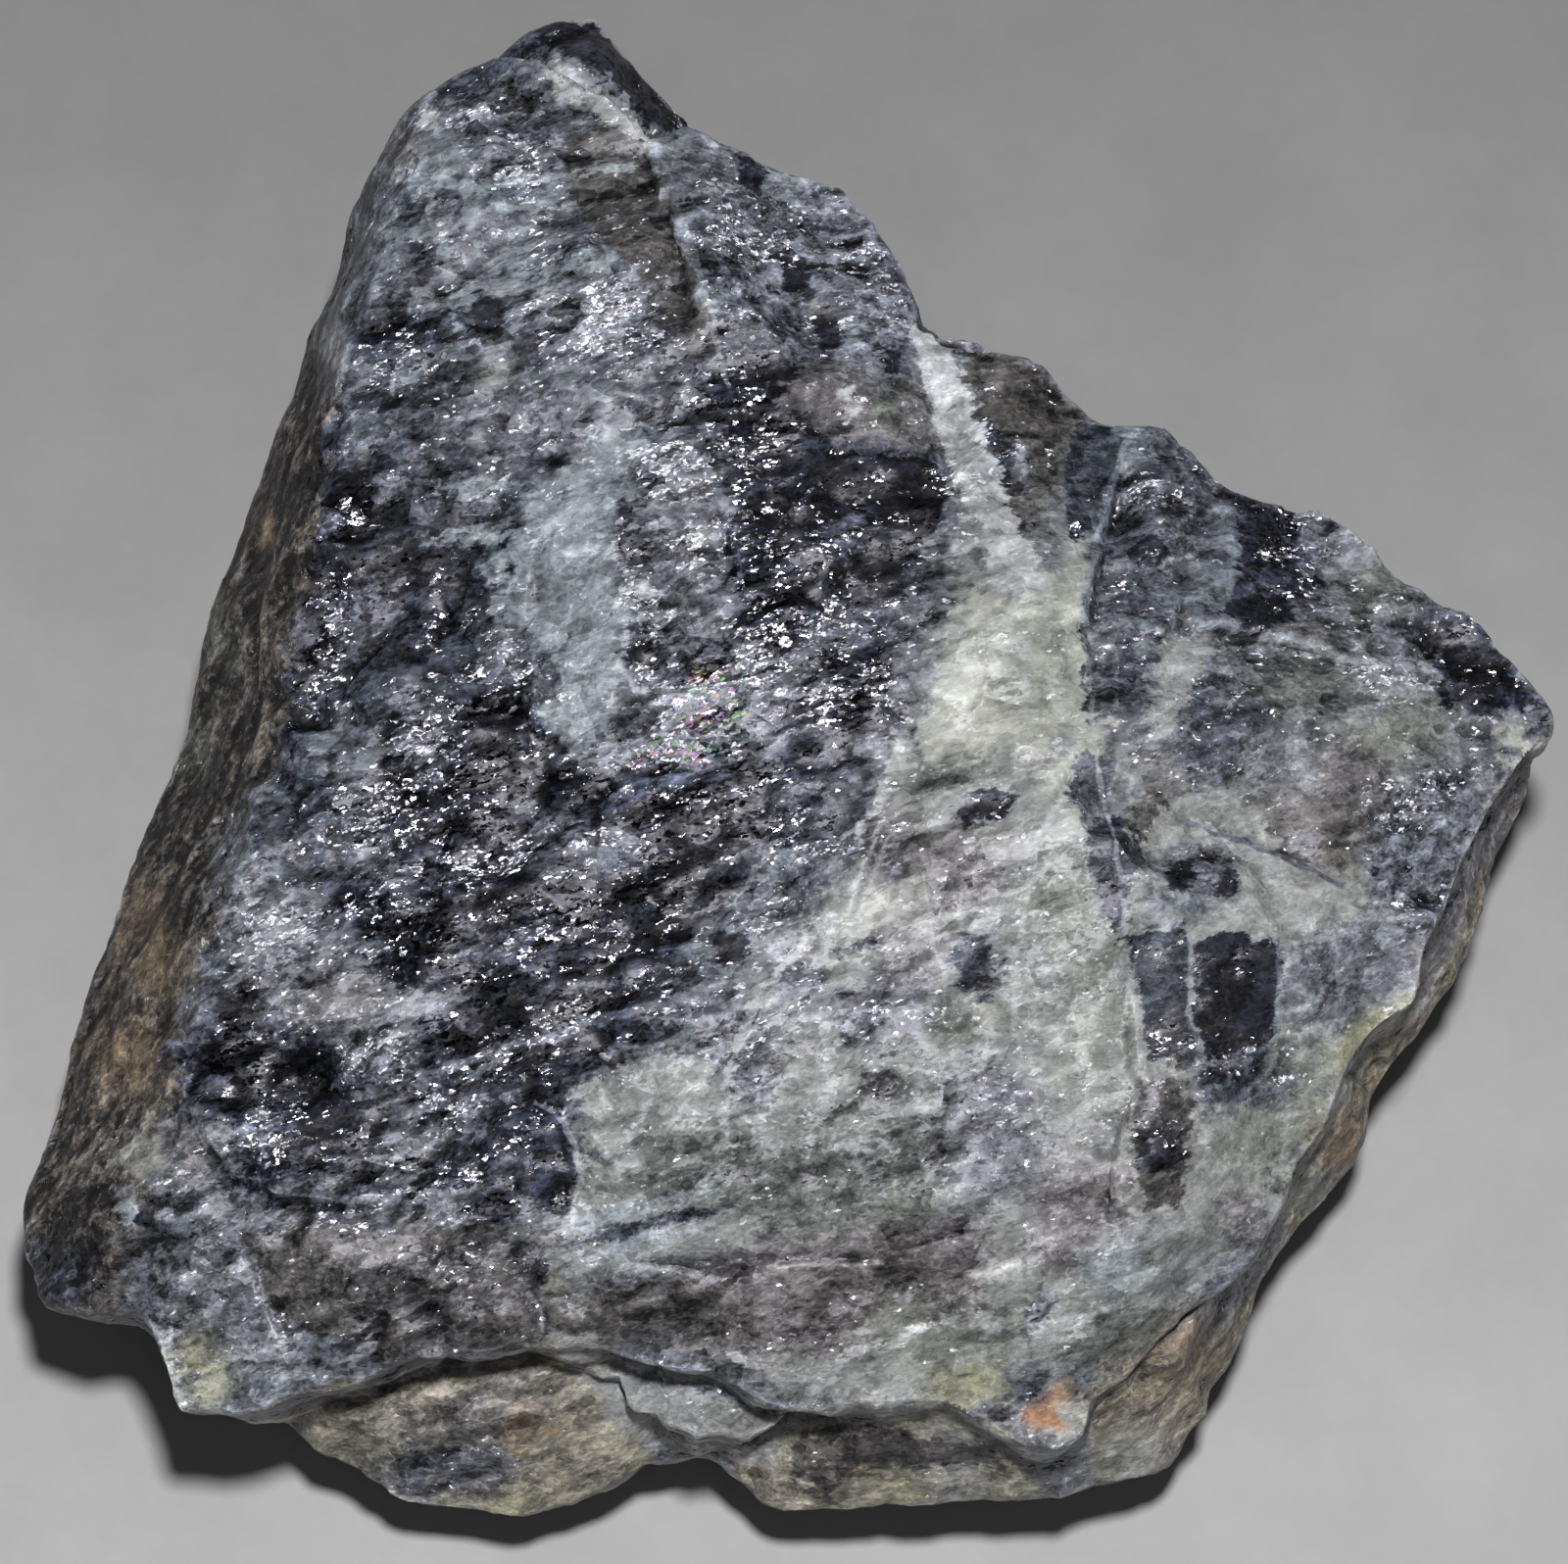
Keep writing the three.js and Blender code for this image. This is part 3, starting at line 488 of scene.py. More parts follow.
# How far each round of easing draws a point, and what scatters the random numbers.
EASING = 0.6
EASING_ROUNDS = 2
SCATTER = np.array([[127.1, 269.5, 113.5], [311.7, 183.3, 271.9], [74.7, 246.1, 124.6]])
SCATTER_REACH = 43758.5

# Where a few grains are painted in vivid colours as painted iridescent glints: column, row, half width,
# half height and lean.
PAINTED_GLINT_SPOTS = [(728, 716, 40, 34, 0), (700, 768, 34, 16, 0), (664, 772, 22, 14, 0)]

# Where the grains glitter together: column, row, half width, half height and lean.
GLARES = [
    (432, 776, 40, 34, 20), (380, 832, 42, 34, 30), (384, 936, 46, 36, 20), (452, 896, 46, 26, 16),
    (500, 880, 40, 20, 16), (540, 950, 30, 30, 0), (655, 885, 30, 26, 0), (690, 800, 30, 30, 16),
    (700, 692, 32, 30, 16), (800, 662, 64, 34, 10), (776, 592, 36, 34, 0), (652, 612, 20, 42, 0),
    (662, 470, 36, 30, 0), (770, 450, 44, 24, 10), (622, 300, 44, 26, 16), (610, 350, 44, 24, 10),
    (762, 250, 44, 28, -20), (412, 376, 26, 15, 0), (346, 530, 20, 22, 0), (340, 640, 16, 50, -8),
    (452, 1132, 28, 24, 0), (268, 1160, 30, 40, -20), (385, 1085, 42, 26, 10), (1322, 556, 26, 40, 0),
    (1455, 810, 34, 26, 16), (975, 495, 20, 20, 0), (815, 856, 30, 24, 20), (775, 930, 24, 24, 0),
    (740, 402, 44, 18, 10), (538, 210, 34, 60, 10), (498, 694, 56, 40, 16), (1420, 696, 34, 20, 10),
    (470, 1290, 30, 16, 10), (176, 1352, 14, 40, 10), (720, 560, 40, 30, 10), (860, 700, 50, 30, 14),
    (1170, 500, 20, 16, 0), (730, 764, 34, 22, 14), (470, 640, 40, 14, 14), (280, 950, 44, 24, 20),
]

# The glitter's steps are this far apart, in millimetres.
GLARE_STEP = 0.6

# The share of large and of small grains that glint at the most, of small ones that always do, and how
# much glitter there is between the clusters.
LARGE_GLINTS, SMALL_GLINTS, STRAY_GLINTS = 0.7, 0.65, 0.03
LONE_GLINTS = 0.12

# The painted iridescent glints' and the glares' edges: where they start and where they are full, in photo
# pixels.
PAINTED_GLINT_EDGE = (-6, 10)
GLARE_EDGE = (-10, 12)

# The wave pattern's scale for bands a millimetre apart, and how deep the skin's pits are.
WAVE_SCALE = 0.1 * math.pi
PIT_DEPTH = 0.06

# Tone is the light's strength on a screen's curve.
GAMMA = 2.2

# Noise in the stone: cells a millimetre, octaves and roughness.
DRIFT_NOISE = (3.0, 3.0)
CHOICE_NOISE = (1.5, 6.0, 0.62)
WOBBLE_NOISE = (2.0, 5.0, 0.65)
CLOUD_NOISE = (0.45, 7.0, 0.68)
HAIRLINE_NOISE = (0.8, 3.0)
WISP_NOISE = (1.6, 5.0, 0.6)
CROSS_NOISE = (1.8, 4.0, 0.6)
CLUSTER_NOISE = (1.1, 4.0, 0.65)
PIT_NOISE = (9.0, 2.0, 0.6)

# How much each pattern lightens the stone, what they take away together, and where tone ends. Ridges are
# lighter as frosted chipped edges, and creases are darker as painted shade.
LIGHTENING = {"wisps": 0.2, "cross wisps": 0.13, "domains": 0.16, "coarse": 0.2, "middle": 0.2,
              "fine": 0.2, "ridges_and_crease_shade": 0.2, "hairlines": 0.12}
EVEN_LIGHTNESS = 0.46
DARKEST, LIGHTEST = 0.03, 0.92

# How steeply the domains and the coarse, middle and fine grains lean, and what makes the gloss.
GRAIN_STEEPNESS = (0.3, 0.26, 0.28, 0.26)
GLINT_STEEPNESS, PLAIN_STEEPNESS = 1.0, 0.55
STONE_ROUGHNESS, SKIN_ROUGHNESS = 0.44, 0.7
GLINT_ROUGHNESS, PALE_GLINT_ROUGHNESS = 0.13, 0.53
STONE_IOR = 1.56
SHEEN_TINT = (0.92, 0.9, 1.0)

# The cleavage planes of the glittering grains lean this way.
CLEAVAGE_UP = (0.025, -0.181, 0.983)

# A small soft lamp overhead beside the lens and a weak fill: name, place, size in metres, power.
LAMPS = [("key", (0.03, -0.03, 0.62), 0.06, 4.25), ("fill", (0.05, -0.45, 0.8), 0.6, 0.35)]
LAMP_TARGET = Vector((0, 0, 0.01))
ROOM_COLOUR = (0.9, 0.95, 1.0)
ROOM_STRENGTH = 0.03

# The paper: half its side in metres, and its painted light falloff: how pale it is painted in front of the
# stone and how much darker behind it.
FLOOR_HALF = 1.5
PAPER_REACH = 60.0
PAINTED_LIGHT_NEAR, PAINTED_SHADE_FAR = 0.435, 0.2


def seen_at(points):
    """Where each point shows in the photograph: its column and row."""
    away = points - np.array(EYE)
    scale = VIEW_DISTANCE / (away @ np.array(AHEAD))
    column = CHUNK_MIDDLE[0] + (away @ np.array(ASIDE)) * scale / PIXEL
    row = CHUNK_MIDDLE[1] - (away @ np.array(ABOVE)) * scale / PIXEL
    return np.stack([column, row], axis=1)


def smooth_step(low, high, values):
    """0 below low, 1 above high and a soft rise between them."""
    part = np.clip((values - low) / (high - low), 0, 1)
    return part * part * (3 - 2 * part)


def linear(colour):
    """An 8-bit screen colour as linear light."""
    share = np.array(colour, float) / 255
    return np.where(share <= 0.04045, share / 12.92, ((share + 0.055) / 1.055) ** 2.4)


def sides_of(faces):
    """Each triangle's three sides, as pairs of points."""
    return np.concatenate([faces[:, [0, 1]], faces[:, [1, 2]], faces[:, [2, 0]]])


def among_neighbours(points, faces):
    """The middle of each point's neighbours."""
    sides = sides_of(faces)
    total = np.zeros_like(points)
    np.add.at(total, sides[:, 0], points[sides[:, 1]])
    np.add.at(total, sides[:, 1], points[sides[:, 0]])
    return total / np.bincount(sides.reshape(-1), minlength=len(points))[:, None]


def halved(points, limits, faces):
    """Splits each edge longer than its limit once; says if there was one."""
    edges, back = np.unique(np.sort(sides_of(faces), axis=1), axis=0, return_inverse=True)
    length = np.linalg.norm(points[edges[:, 0]] - points[edges[:, 1]], axis=1)
    limit = limits[edges].mean(axis=1)
    long = length > limit
    number = np.where(long, len(points) + np.cumsum(long) - 1, -1)
    middles = number[back.reshape(-1)].reshape(3, -1).T
    made = edges[long]
    points = np.concatenate([points, points[made].mean(axis=1)])
    limits = np.concatenate([limits, limits[made].mean(axis=1)])
    count = (middles >= 0).sum(axis=1)
    parts = [faces[count == 0]]
    for turn in range(3):
        order = [(turn + step) % 3 for step in range(3)]
        a, b, c = (faces[:, k] for k in order)
        ab, bc, ca = (middles[:, k] for k in order)
        one = (count == 1) & (ab >= 0)
        parts.append(np.stack([a, ab, c], axis=1)[one])
        parts.append(np.stack([ab, b, c], axis=1)[one])
        two = (count == 2) & (ca < 0)
        parts.append(np.stack([ab, b, bc], axis=1)[two])
        from_a = np.linalg.norm(points[a] - points[bc], axis=1)
        from_c = np.linalg.norm(points[ab] - points[c], axis=1)
        split = two & (from_a < from_c)
        other = two & ~(from_a < from_c)
        parts.append(np.stack([a, ab, bc], axis=1)[split])
        parts.append(np.stack([a, bc, c], axis=1)[split])
        parts.append(np.stack([a, ab, c], axis=1)[other])
        parts.append(np.stack([ab, bc, c], axis=1)[other])
    three = count == 3
    a, b, c = faces[three].T
    ab, bc, ca = middles[three].T
    for corners in ((a, ab, ca), (ab, b, bc), (ca, bc, c), (ab, bc, ca)):
        parts.append(np.stack(corners, axis=1))
    return points, limits, np.concatenate(parts), bool(long.any())


def vertex_normals(points, faces):
    """Each vertex's normal, weighted by area."""
    a, b, c = (points[faces[:, k]] for k in range(3))
    normals = np.cross(b - a, c - a)
    total = np.zeros_like(points)
    for k in range(3):
        np.add.at(total, faces[:, k], normals)
    return total / np.maximum(np.linalg.norm(total, axis=1, keepdims=True), 1e-12)


def eased(points, faces, rounds):
    """Draws each point towards the middle of its neighbours."""
    for _ in range(rounds):
        points = points + (among_neighbours(points, faces) - points) * EASING
    return points


def cad_mesh():
    """The CAD solid's points in millimetres and its triangles, with the slivers welded."""
    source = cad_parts[NODE].data
    mesh = bmesh.new()
    mesh.from_mesh(source)
    for vertex in mesh.verts:
        vertex.co /= MM
    bmesh.ops.remove_doubles(mesh, verts=mesh.verts, dist=WELD)
    bmesh.ops.triangulate(mesh, faces=mesh.faces)
    mesh.verts.index_update()
    points = np.array([vertex.co for vertex in mesh.verts])
    faces = np.array([[vertex.index for vertex in face.verts] for face in mesh.faces])
    mesh.free()
    return points, faces


def facing(points, normals):
    """How squarely each point faces the photograph's camera, from -1 to 1."""
    back = np.array(EYE) - points
    back /= np.linalg.norm(back, axis=1, keepdims=True)
    return (normals * back).sum(axis=1)


def dense_mesh():
    """The chunk's surface with triangles small enough to carry its grain."""
    points, faces = cad_mesh()
    shown = smooth_step(*FINE_WHERE_FACING, facing(points, vertex_normals(points, faces)))
    limits = PLAIN_EDGE + (FINE_EDGE - PLAIN_EDGE) * shown
    more = True
    while more:
        points, limits, faces, more = halved(points, limits, faces)
    return eased(points, faces, EASING_ROUNDS), faces


def each(points, call):
    """The call's answer for every point, as an array."""
    return np.array([call(Vector(point)) for point in points])


def turned(points, angle, stretch):
    """The points in a frame turned about Z, drawn out along its first axis."""
    turn = np.array(Matrix.Rotation(-angle, 3, "Z"))
    return (points @ turn.T) * np.array([1 / stretch, 1, 1])


def random_numbers(cells, seed):
    """Three even random numbers for each whole-numbered cell."""
    return np.sin(cells @ SCATTER + seed) * SCATTER_REACH % 1


def hollows(places, seed):
    """A field of round hollows, one around each scattered middle, that meet in ridges."""
    home = np.floor(places)
    height = np.full(len(places), np.inf)
    for step in itertools.product((-1, 0, 1), repeat=3):
        cells = home + step
        away = places - cells - random_numbers(cells, seed)
        height = np.minimum(height, (away ** 2).sum(axis=1))
    return height


def facets(points, size, angle, stretch, seed):
    """Heights of a field of flat facets that meet in crisp ridges and creases.

    Where one field of hollows is taken from another, the curves cancel and flat facets are left.
    """
    places = turned(points, angle, stretch) / size
    return (hollows(places, seed) - hollows(places, seed + 0.5)) * size


def clouds(points, size, octaves, seed):
    """Fractal noise from about -1 to 1."""
    return each(points / size + seed * 11.9, lambda place: noise.fractal(place, 1.0, 2.0, octaves))


def legs(spots, path):
    """For each leg of a path: how far off each spot is, and how far beside the leg's whole line."""
    x, y = spots.T
    for (x0, y0), (x1, y1) in zip(path, path[1:]):
        dx, dy = x1 - x0, y1 - y0
        along = np.clip(((x - x0) * dx + (y - y0) * dy) / (dx * dx + dy * dy), 0, 1)
        away = np.hypot(x - x0 - along * dx, y - y0 - along * dy)
        yield away, ((x - x0) * dy - (y - y0) * dx) / math.hypot(dx, dy)


def path_distance(spots, path):
    """How far each spot is from a path."""
    return np.min([away for away, _ in legs(spots, path)], axis=0)


def polygon_depth(spots, outline):
    """How far inside the outline each spot lies; negative outside."""
    closed = outline + outline[:1]
    nearest = path_distance(spots, closed)
    inside = np.zeros(len(spots), bool)
    x, y = spots.T
    for (x0, y0), (x1, y1) in zip(closed, closed[1:]):
        if y0 != y1:
            inside ^= ((y0 > y) != (y1 > y)) & (x < x0 + (y - y0) * (x1 - x0) / (y1 - y0))
    return np.where(inside, nearest, -nearest)


def patch_depth(spots, oval):
    """How far inside a leaning oval each spot lies; negative outside."""
    column, row, half_width, half_height, lean = oval
    turn = math.radians(lean)
    x, y = spots[:, 0] - column, row - spots[:, 1]
    across = (x * math.cos(turn) + y * math.sin(turn)) / half_width
    upward = (y * math.cos(turn) - x * math.sin(turn)) / half_height
    reach = (np.abs(across) ** OVAL_POWER + np.abs(upward) ** OVAL_POWER) ** (1 / OVAL_POWER)
    return (1 - reach) * min(half_width, half_height)


def streak_depth(spots, width, path):
    """How far inside a line of the given width each spot lies; negative outside."""
    return width / 2 - path_distance(spots, path)


def thread_layers(spots, wanted):
    """For a look's thin lines: how far beside its nearest line each spot lies, and how near it is.

    The first is in half widths and negative on one side, so it stays exact between the mesh's points.
    """
    beside = np.full(len(spots), HIDDEN_DEPTH)
    near = np.full(len(spots), HIDDEN_DEPTH)
    for half_width, *path in [line for look, *line in THREADS if look == wanted]:
        for away, across in legs(spots, path):
            beside = np.where(away < near, across / half_width, beside)
            near = np.minimum(away, near)
    return beside, near


class Paint:
    """What the surface looks like at each vertex."""

    def __init__(self, count, look):
        self.values = np.tile(self.row(look), (count, 1))

    @staticmethod
    def row(look):
        """A look as hue, tone, glints, mottling and skin."""
        colour, glints, mottling, skin = LOOKS[look]
        light = linear(colour)
        strength = light @ np.array([0.2126, 0.7152, 0.0722])
        return np.array([*(light / strength), strength ** (1 / GAMMA), glints, mottling, skin])

    def lay(self, look, cover):
        """Lays a look over what is there."""
        self.values += (self.row(look) - self.values) * cover[:, None]


def block_middles(points, size, stretch, seed):
    """For each point the middle of the crystal block that it belongs to."""
    turn = np.array(Matrix.Rotation(-CLEAVAGE_ANGLE, 3, "Z"))
    spread = np.array([stretch, 1, 1])
    shift = seed * 13.7
    cells = turned(points, CLEAVAGE_ANGLE, stretch) / size + shift
    middles = each(cells, lambda place: tuple(noise.voronoi(place)[1][0]))
    return ((middles - shift) * size * spread) @ turn


def wandering(spots, seed):
    """The photo spots, moved about so that outlines drawn with them come out ragged."""
    for size, reach in RAGGED:
        flat = np.column_stack([spots / size, np.full(len(spots), seed * 5.3)])
        wobble = each(flat, lambda place: tuple(noise.noise_vector(place)))
        spots = spots + wobble[:, :2] * reach
    return spots


def all_shapes():
    """Each shape from the lowest up: look, softness, strength, whether blocks break it up, depth."""
    found = [(look, soft, 1.0, soft > CRISP_SOFTNESS, partial(polygon_depth, outline=outline))
             for look, soft, *outline in REGIONS]
    found += [(look, soft, PATCH_COVER, min(oval[2:4]) > BLOCKY_PATCH, partial(patch_depth, oval=oval))
              for look, *oval, soft in PATCHES]
    found += [(look, soft, STREAK_COVER, False, partial(streak_depth, width=width, path=path))
              for look, width, soft, *path in STREAKS]
    return found


def is_crisp(look, soft):
    """Whether the shader draws the shape's border."""
    return look in CRISP_LOOKS and soft <= CRISP_SOFTNESS


def shown_share(points, normals):
    """How far the photograph shows each point: 0 hidden, 1 in view."""
    return smooth_step(*SHOWN_WHERE_FACING, facing(points, normals))


def painted(points, normals, exact, block_size, seed):
    """The looks of the whole surface: what the photo shows, and its like where it doesn't reach."""
    paint = Paint(len(points), "smoke")
    blocks = block_middles(points, block_size, BLOCK_STRETCH, seed)
    broad = clouds(blocks, BROAD_CLOUDS, 3, 1)
    narrow = clouds(blocks, NARROW_CLOUDS, 3, 2)
    for look, level, of_broad, of_narrow in HIDDEN_LOOKS:
        field = of_broad * broad + of_narrow * narrow
        paint.lay(look, smooth_step(level, level + HIDDEN_SOFTNESS, field) * HIDDEN_COVER)
    rough = wandering(seen_at(blocks), seed)
    shown = shown_share(points, normals)
    paint.lay("steel", shown)
    for look, soft, strength, blocky, depth in all_shapes():
        if not is_crisp(look, soft):
            spots = rough if blocky else exact
            paint.lay(look, shown * strength * smooth_step(-soft, soft, depth(spots)))
    return paint.values


def crisp_depths(points, normals, exact):
    """For each crisp look, how far inside its shapes each point lies, in photo pixels."""
    hidden = HIDDEN_DEPTH * (1 - shown_share(points, normals))
    depths = {look: np.full(len(points), -HIDDEN_DEPTH) for look in CRISP_LOOKS}
    for look, soft, _, _, depth in all_shapes():
        if is_crisp(look, soft):
            depths[look] = np.maximum(depths[look], depth(exact))
    return {look: depth - hidden for look, depth in depths.items()}


def grained(points, faces, paint):
    """Moves the surface in and out: cleavage facets, broken sides and weathered skin."""
    normals = vertex_normals(points, faces)
    up = normals[:, 2]
    skin = np.maximum(paint[:, SKIN], SKIN_ON_SIDES * (1 - smooth_step(*LEVEL_EDGE, up)))
    clean = (1 - skin) * (1.15 - 0.5 * smooth_step(0.3, 0.65, paint[:, TONE]))
    lift = np.zeros(len(points))
    for seed, (size, stretch, height) in enumerate(CLEAN_FACETS, 1):
        lift += facets(points, size, CLEAVAGE_ANGLE, stretch, seed) * height * clean
    for seed, (size, stretch, height) in enumerate(SKIN_FACETS, 1 + len(CLEAN_FACETS)):
        lift += facets(points, size, SKIN_ANGLE, stretch, seed) * height * skin
    size, stretch, height = SKIN_CLOUDS
    lift += clouds(turned(points, SKIN_ANGLE, stretch), size, 3, 4) * height * skin
    under = -np.abs(lift) * (1 - smooth_step(*UNDERSIDE_EDGE, up))
    lift = np.where(up < UNDERSIDE_EDGE[1], under, lift)
    return points + normals * lift[:, None]


def ridges_and_crease_shade(points, faces):
    """How far each vertex stands out from its neighbours: 1 on a sharp ridge, -1 in a crease. The colour is
    lighter on ridges and painted with shade in creases.
    """
    apart = points - among_neighbours(points, faces)
    height = (apart * vertex_normals(points, faces)).sum(axis=1)
    return np.clip(height / RIDGE_HEIGHT, -1, 1)


def number_layer(mesh, name, values):
    """A number for each vertex that the material can read."""
    mesh.attributes.new(name, "FLOAT", "POINT").data.foreach_set("value", values)


def colour_layer(mesh, name, values):
    """A colour for each vertex that the material can read."""
    rows = np.column_stack([values, np.ones(len(values))])
    mesh.attributes.new(name, "FLOAT_COLOR", "POINT").data.foreach_set("color", rows.ravel())


def spot_cover(spots, ovals, edge):
    """1 inside any of the ovals, 0 outside them all."""
    depths = [patch_depth(spots, oval) for oval in ovals]
    return smooth_step(*edge, np.max(depths, axis=0))


def chunk():
    """The visible stone: the CAD solid's shape with its grain, and what paints it."""
    points, faces = dense_mesh()
    normals = vertex_normals(points, faces)
    exact = wandering(seen_at(points), 0)
    shown = shown_share(points, normals)
    first = painted(points, normals, exact, FINE_BLOCKS, 1)
    second = painted(points, normals, exact, BROAD_BLOCKS, 2)
    crisp = crisp_depths(points, normals, exact)
    both = (first + second) / 2
    points = grained(points, faces, both)
    mesh = bpy.data.meshes.new("rough_stone")
    mesh.from_pydata((points * MM).tolist(), [], faces.tolist())
    mesh.shade_smooth()
    mesh.set_sharp_from_angle(angle=SHARP_ANGLE)
    for name, paint in (("", first), ("other_", second)):
        colour_layer(mesh, name + "hue", paint[:, :TONE])
        number_layer(mesh, name + "tone", paint[:, TONE])
    number_layer(mesh, "glints", both[:, GLINTS])
    number_layer(mesh, "mottling", both[:, MOTTLING])
    number_layer(mesh, "skin", both[:, SKIN])
    for look, depth in crisp.items():
        number_layer(mesh, "in_" + look, depth)
    for look in THREAD_LOOKS:
        beside, near = thread_layers(exact, look)
        number_layer(mesh, "beside_" + look, beside)
        number_layer(mesh, "near_" + look, near + HIDDEN_DEPTH * (1 - shown))
    number_layer(mesh, "ridge_and_crease_shade", ridges_and_crease_shade(points, faces))
    # Painted iridescent glints: where a few grains are painted in vivid colours.
    number_layer(mesh, "painted_glint", shown * spot_cover(exact, PAINTED_GLINT_SPOTS, PAINTED_GLINT_EDGE))
    number_layer(mesh, "glare", shown * spot_cover(exact, GLARES, GLARE_EDGE))
    stone = bpy.data.objects.new("rough_stone", mesh)
    bpy.context.scene.collection.objects.link(stone)
    return stone


class Nodes:
    """Adds a material's nodes and joins them."""

    def __init__(self, name):
        self.material = bpy.data.materials.new(name)
        self.material.use_nodes = True
        self.tree = self.material.node_tree
        self.tree.nodes.clear()

    def add(self, kind, sockets=(), **settings):
        """A node with its settings, and a value or a link for each socket given."""
        node = self.tree.nodes.new("ShaderNode" + kind)
        for name, value in settings.items():
            setattr(node, name, value)
        for name, value in dict(sockets).items():
            if isinstance(value, bpy.types.NodeSocket):
                self.tree.links.new(value, node.inputs[name])
            else:
                node.inputs[name].default_value = value
        return node

    def math(self, operation, first, second=0.0, third=0.0):
        """One sum on numbers."""
        return self.add("Math", {0: first, 1: second, 2: third}, operation=operation).outputs[0]

    def vector(self, operation, first, second=(0, 0, 0)):
        """One sum on vectors."""
        return self.add("VectorMath", {0: first, 1: second}, operation=operation).outputs["Vector"]

    def scaled(self, first, scale):
        """A vector times a number."""
        return self.add("VectorMath", {0: first, "Scale": scale}, operation="SCALE").outputs["Vector"]

    def layer(self, name, output="Fac"):
        """A layer that the mesh carries."""
        return self.add("Attribute", attribute_name=name, attribute_type="GEOMETRY").outputs[output]

    def noise(self, place, scale, detail, roughness=0.55):
        """Fractal noise from 0 to 1, scale cells a millimetre."""
        sockets = {"Vector": place, "Scale": scale, "Detail": detail, "Roughness": roughness}
        return self.add("TexNoise", sockets).outputs["Fac"]

    def cells(self, place, scale):
        """A random colour for each crystal grain."""
        return self.add("TexVoronoi", {"Vector": place, "Scale": scale}).outputs["Color"]

    def edge_distance(self, place, scale):
        """How far each place is from the edge of its crystal grain."""
        sockets = {"Vector": place, "Scale": scale}
        return self.add("TexVoronoi", sockets, feature="DISTANCE_TO_EDGE").outputs["Distance"]

    def channel(self, colour, name):
        """One channel of a colour."""
        return self.add("SeparateColor", {"Color": colour}).outputs[name]

    def blend(self, share, first, second):
        """A number between two others."""
        return self.add("Mix", {"Factor": share, "A": first, "B": second}).outputs["Result"]

    def blend_vectors(self, share, first, second):
        """A vector between two others."""
        sockets = {0: share, 4: first, 5: second}
        return self.add("Mix", sockets, data_type="VECTOR").outputs[1]

    def blend_colours(self, share, first, second):
        """A colour between two others."""
        sockets = {0: share, 6: first, 7: second}
        return self.add("Mix", sockets, data_type="RGBA").outputs[2]

    def ranged(self, value, low, high, new_low=0.0, new_high=1.0):
        """The value, moved from one range to another and clamped."""
        sockets = {"Value": value, "From Min": low, "From Max": high, "To Min": new_low, "To Max": new_high}
        return self.add("MapRange", sockets, interpolation_type="SMOOTHSTEP").outputs["Result"]

    def finish(self, shader):
        """Joins the shader to the material's surface."""
        output = self.add("OutputMaterial")
        self.tree.links.new(shader.outputs[0], output.inputs["Surface"])


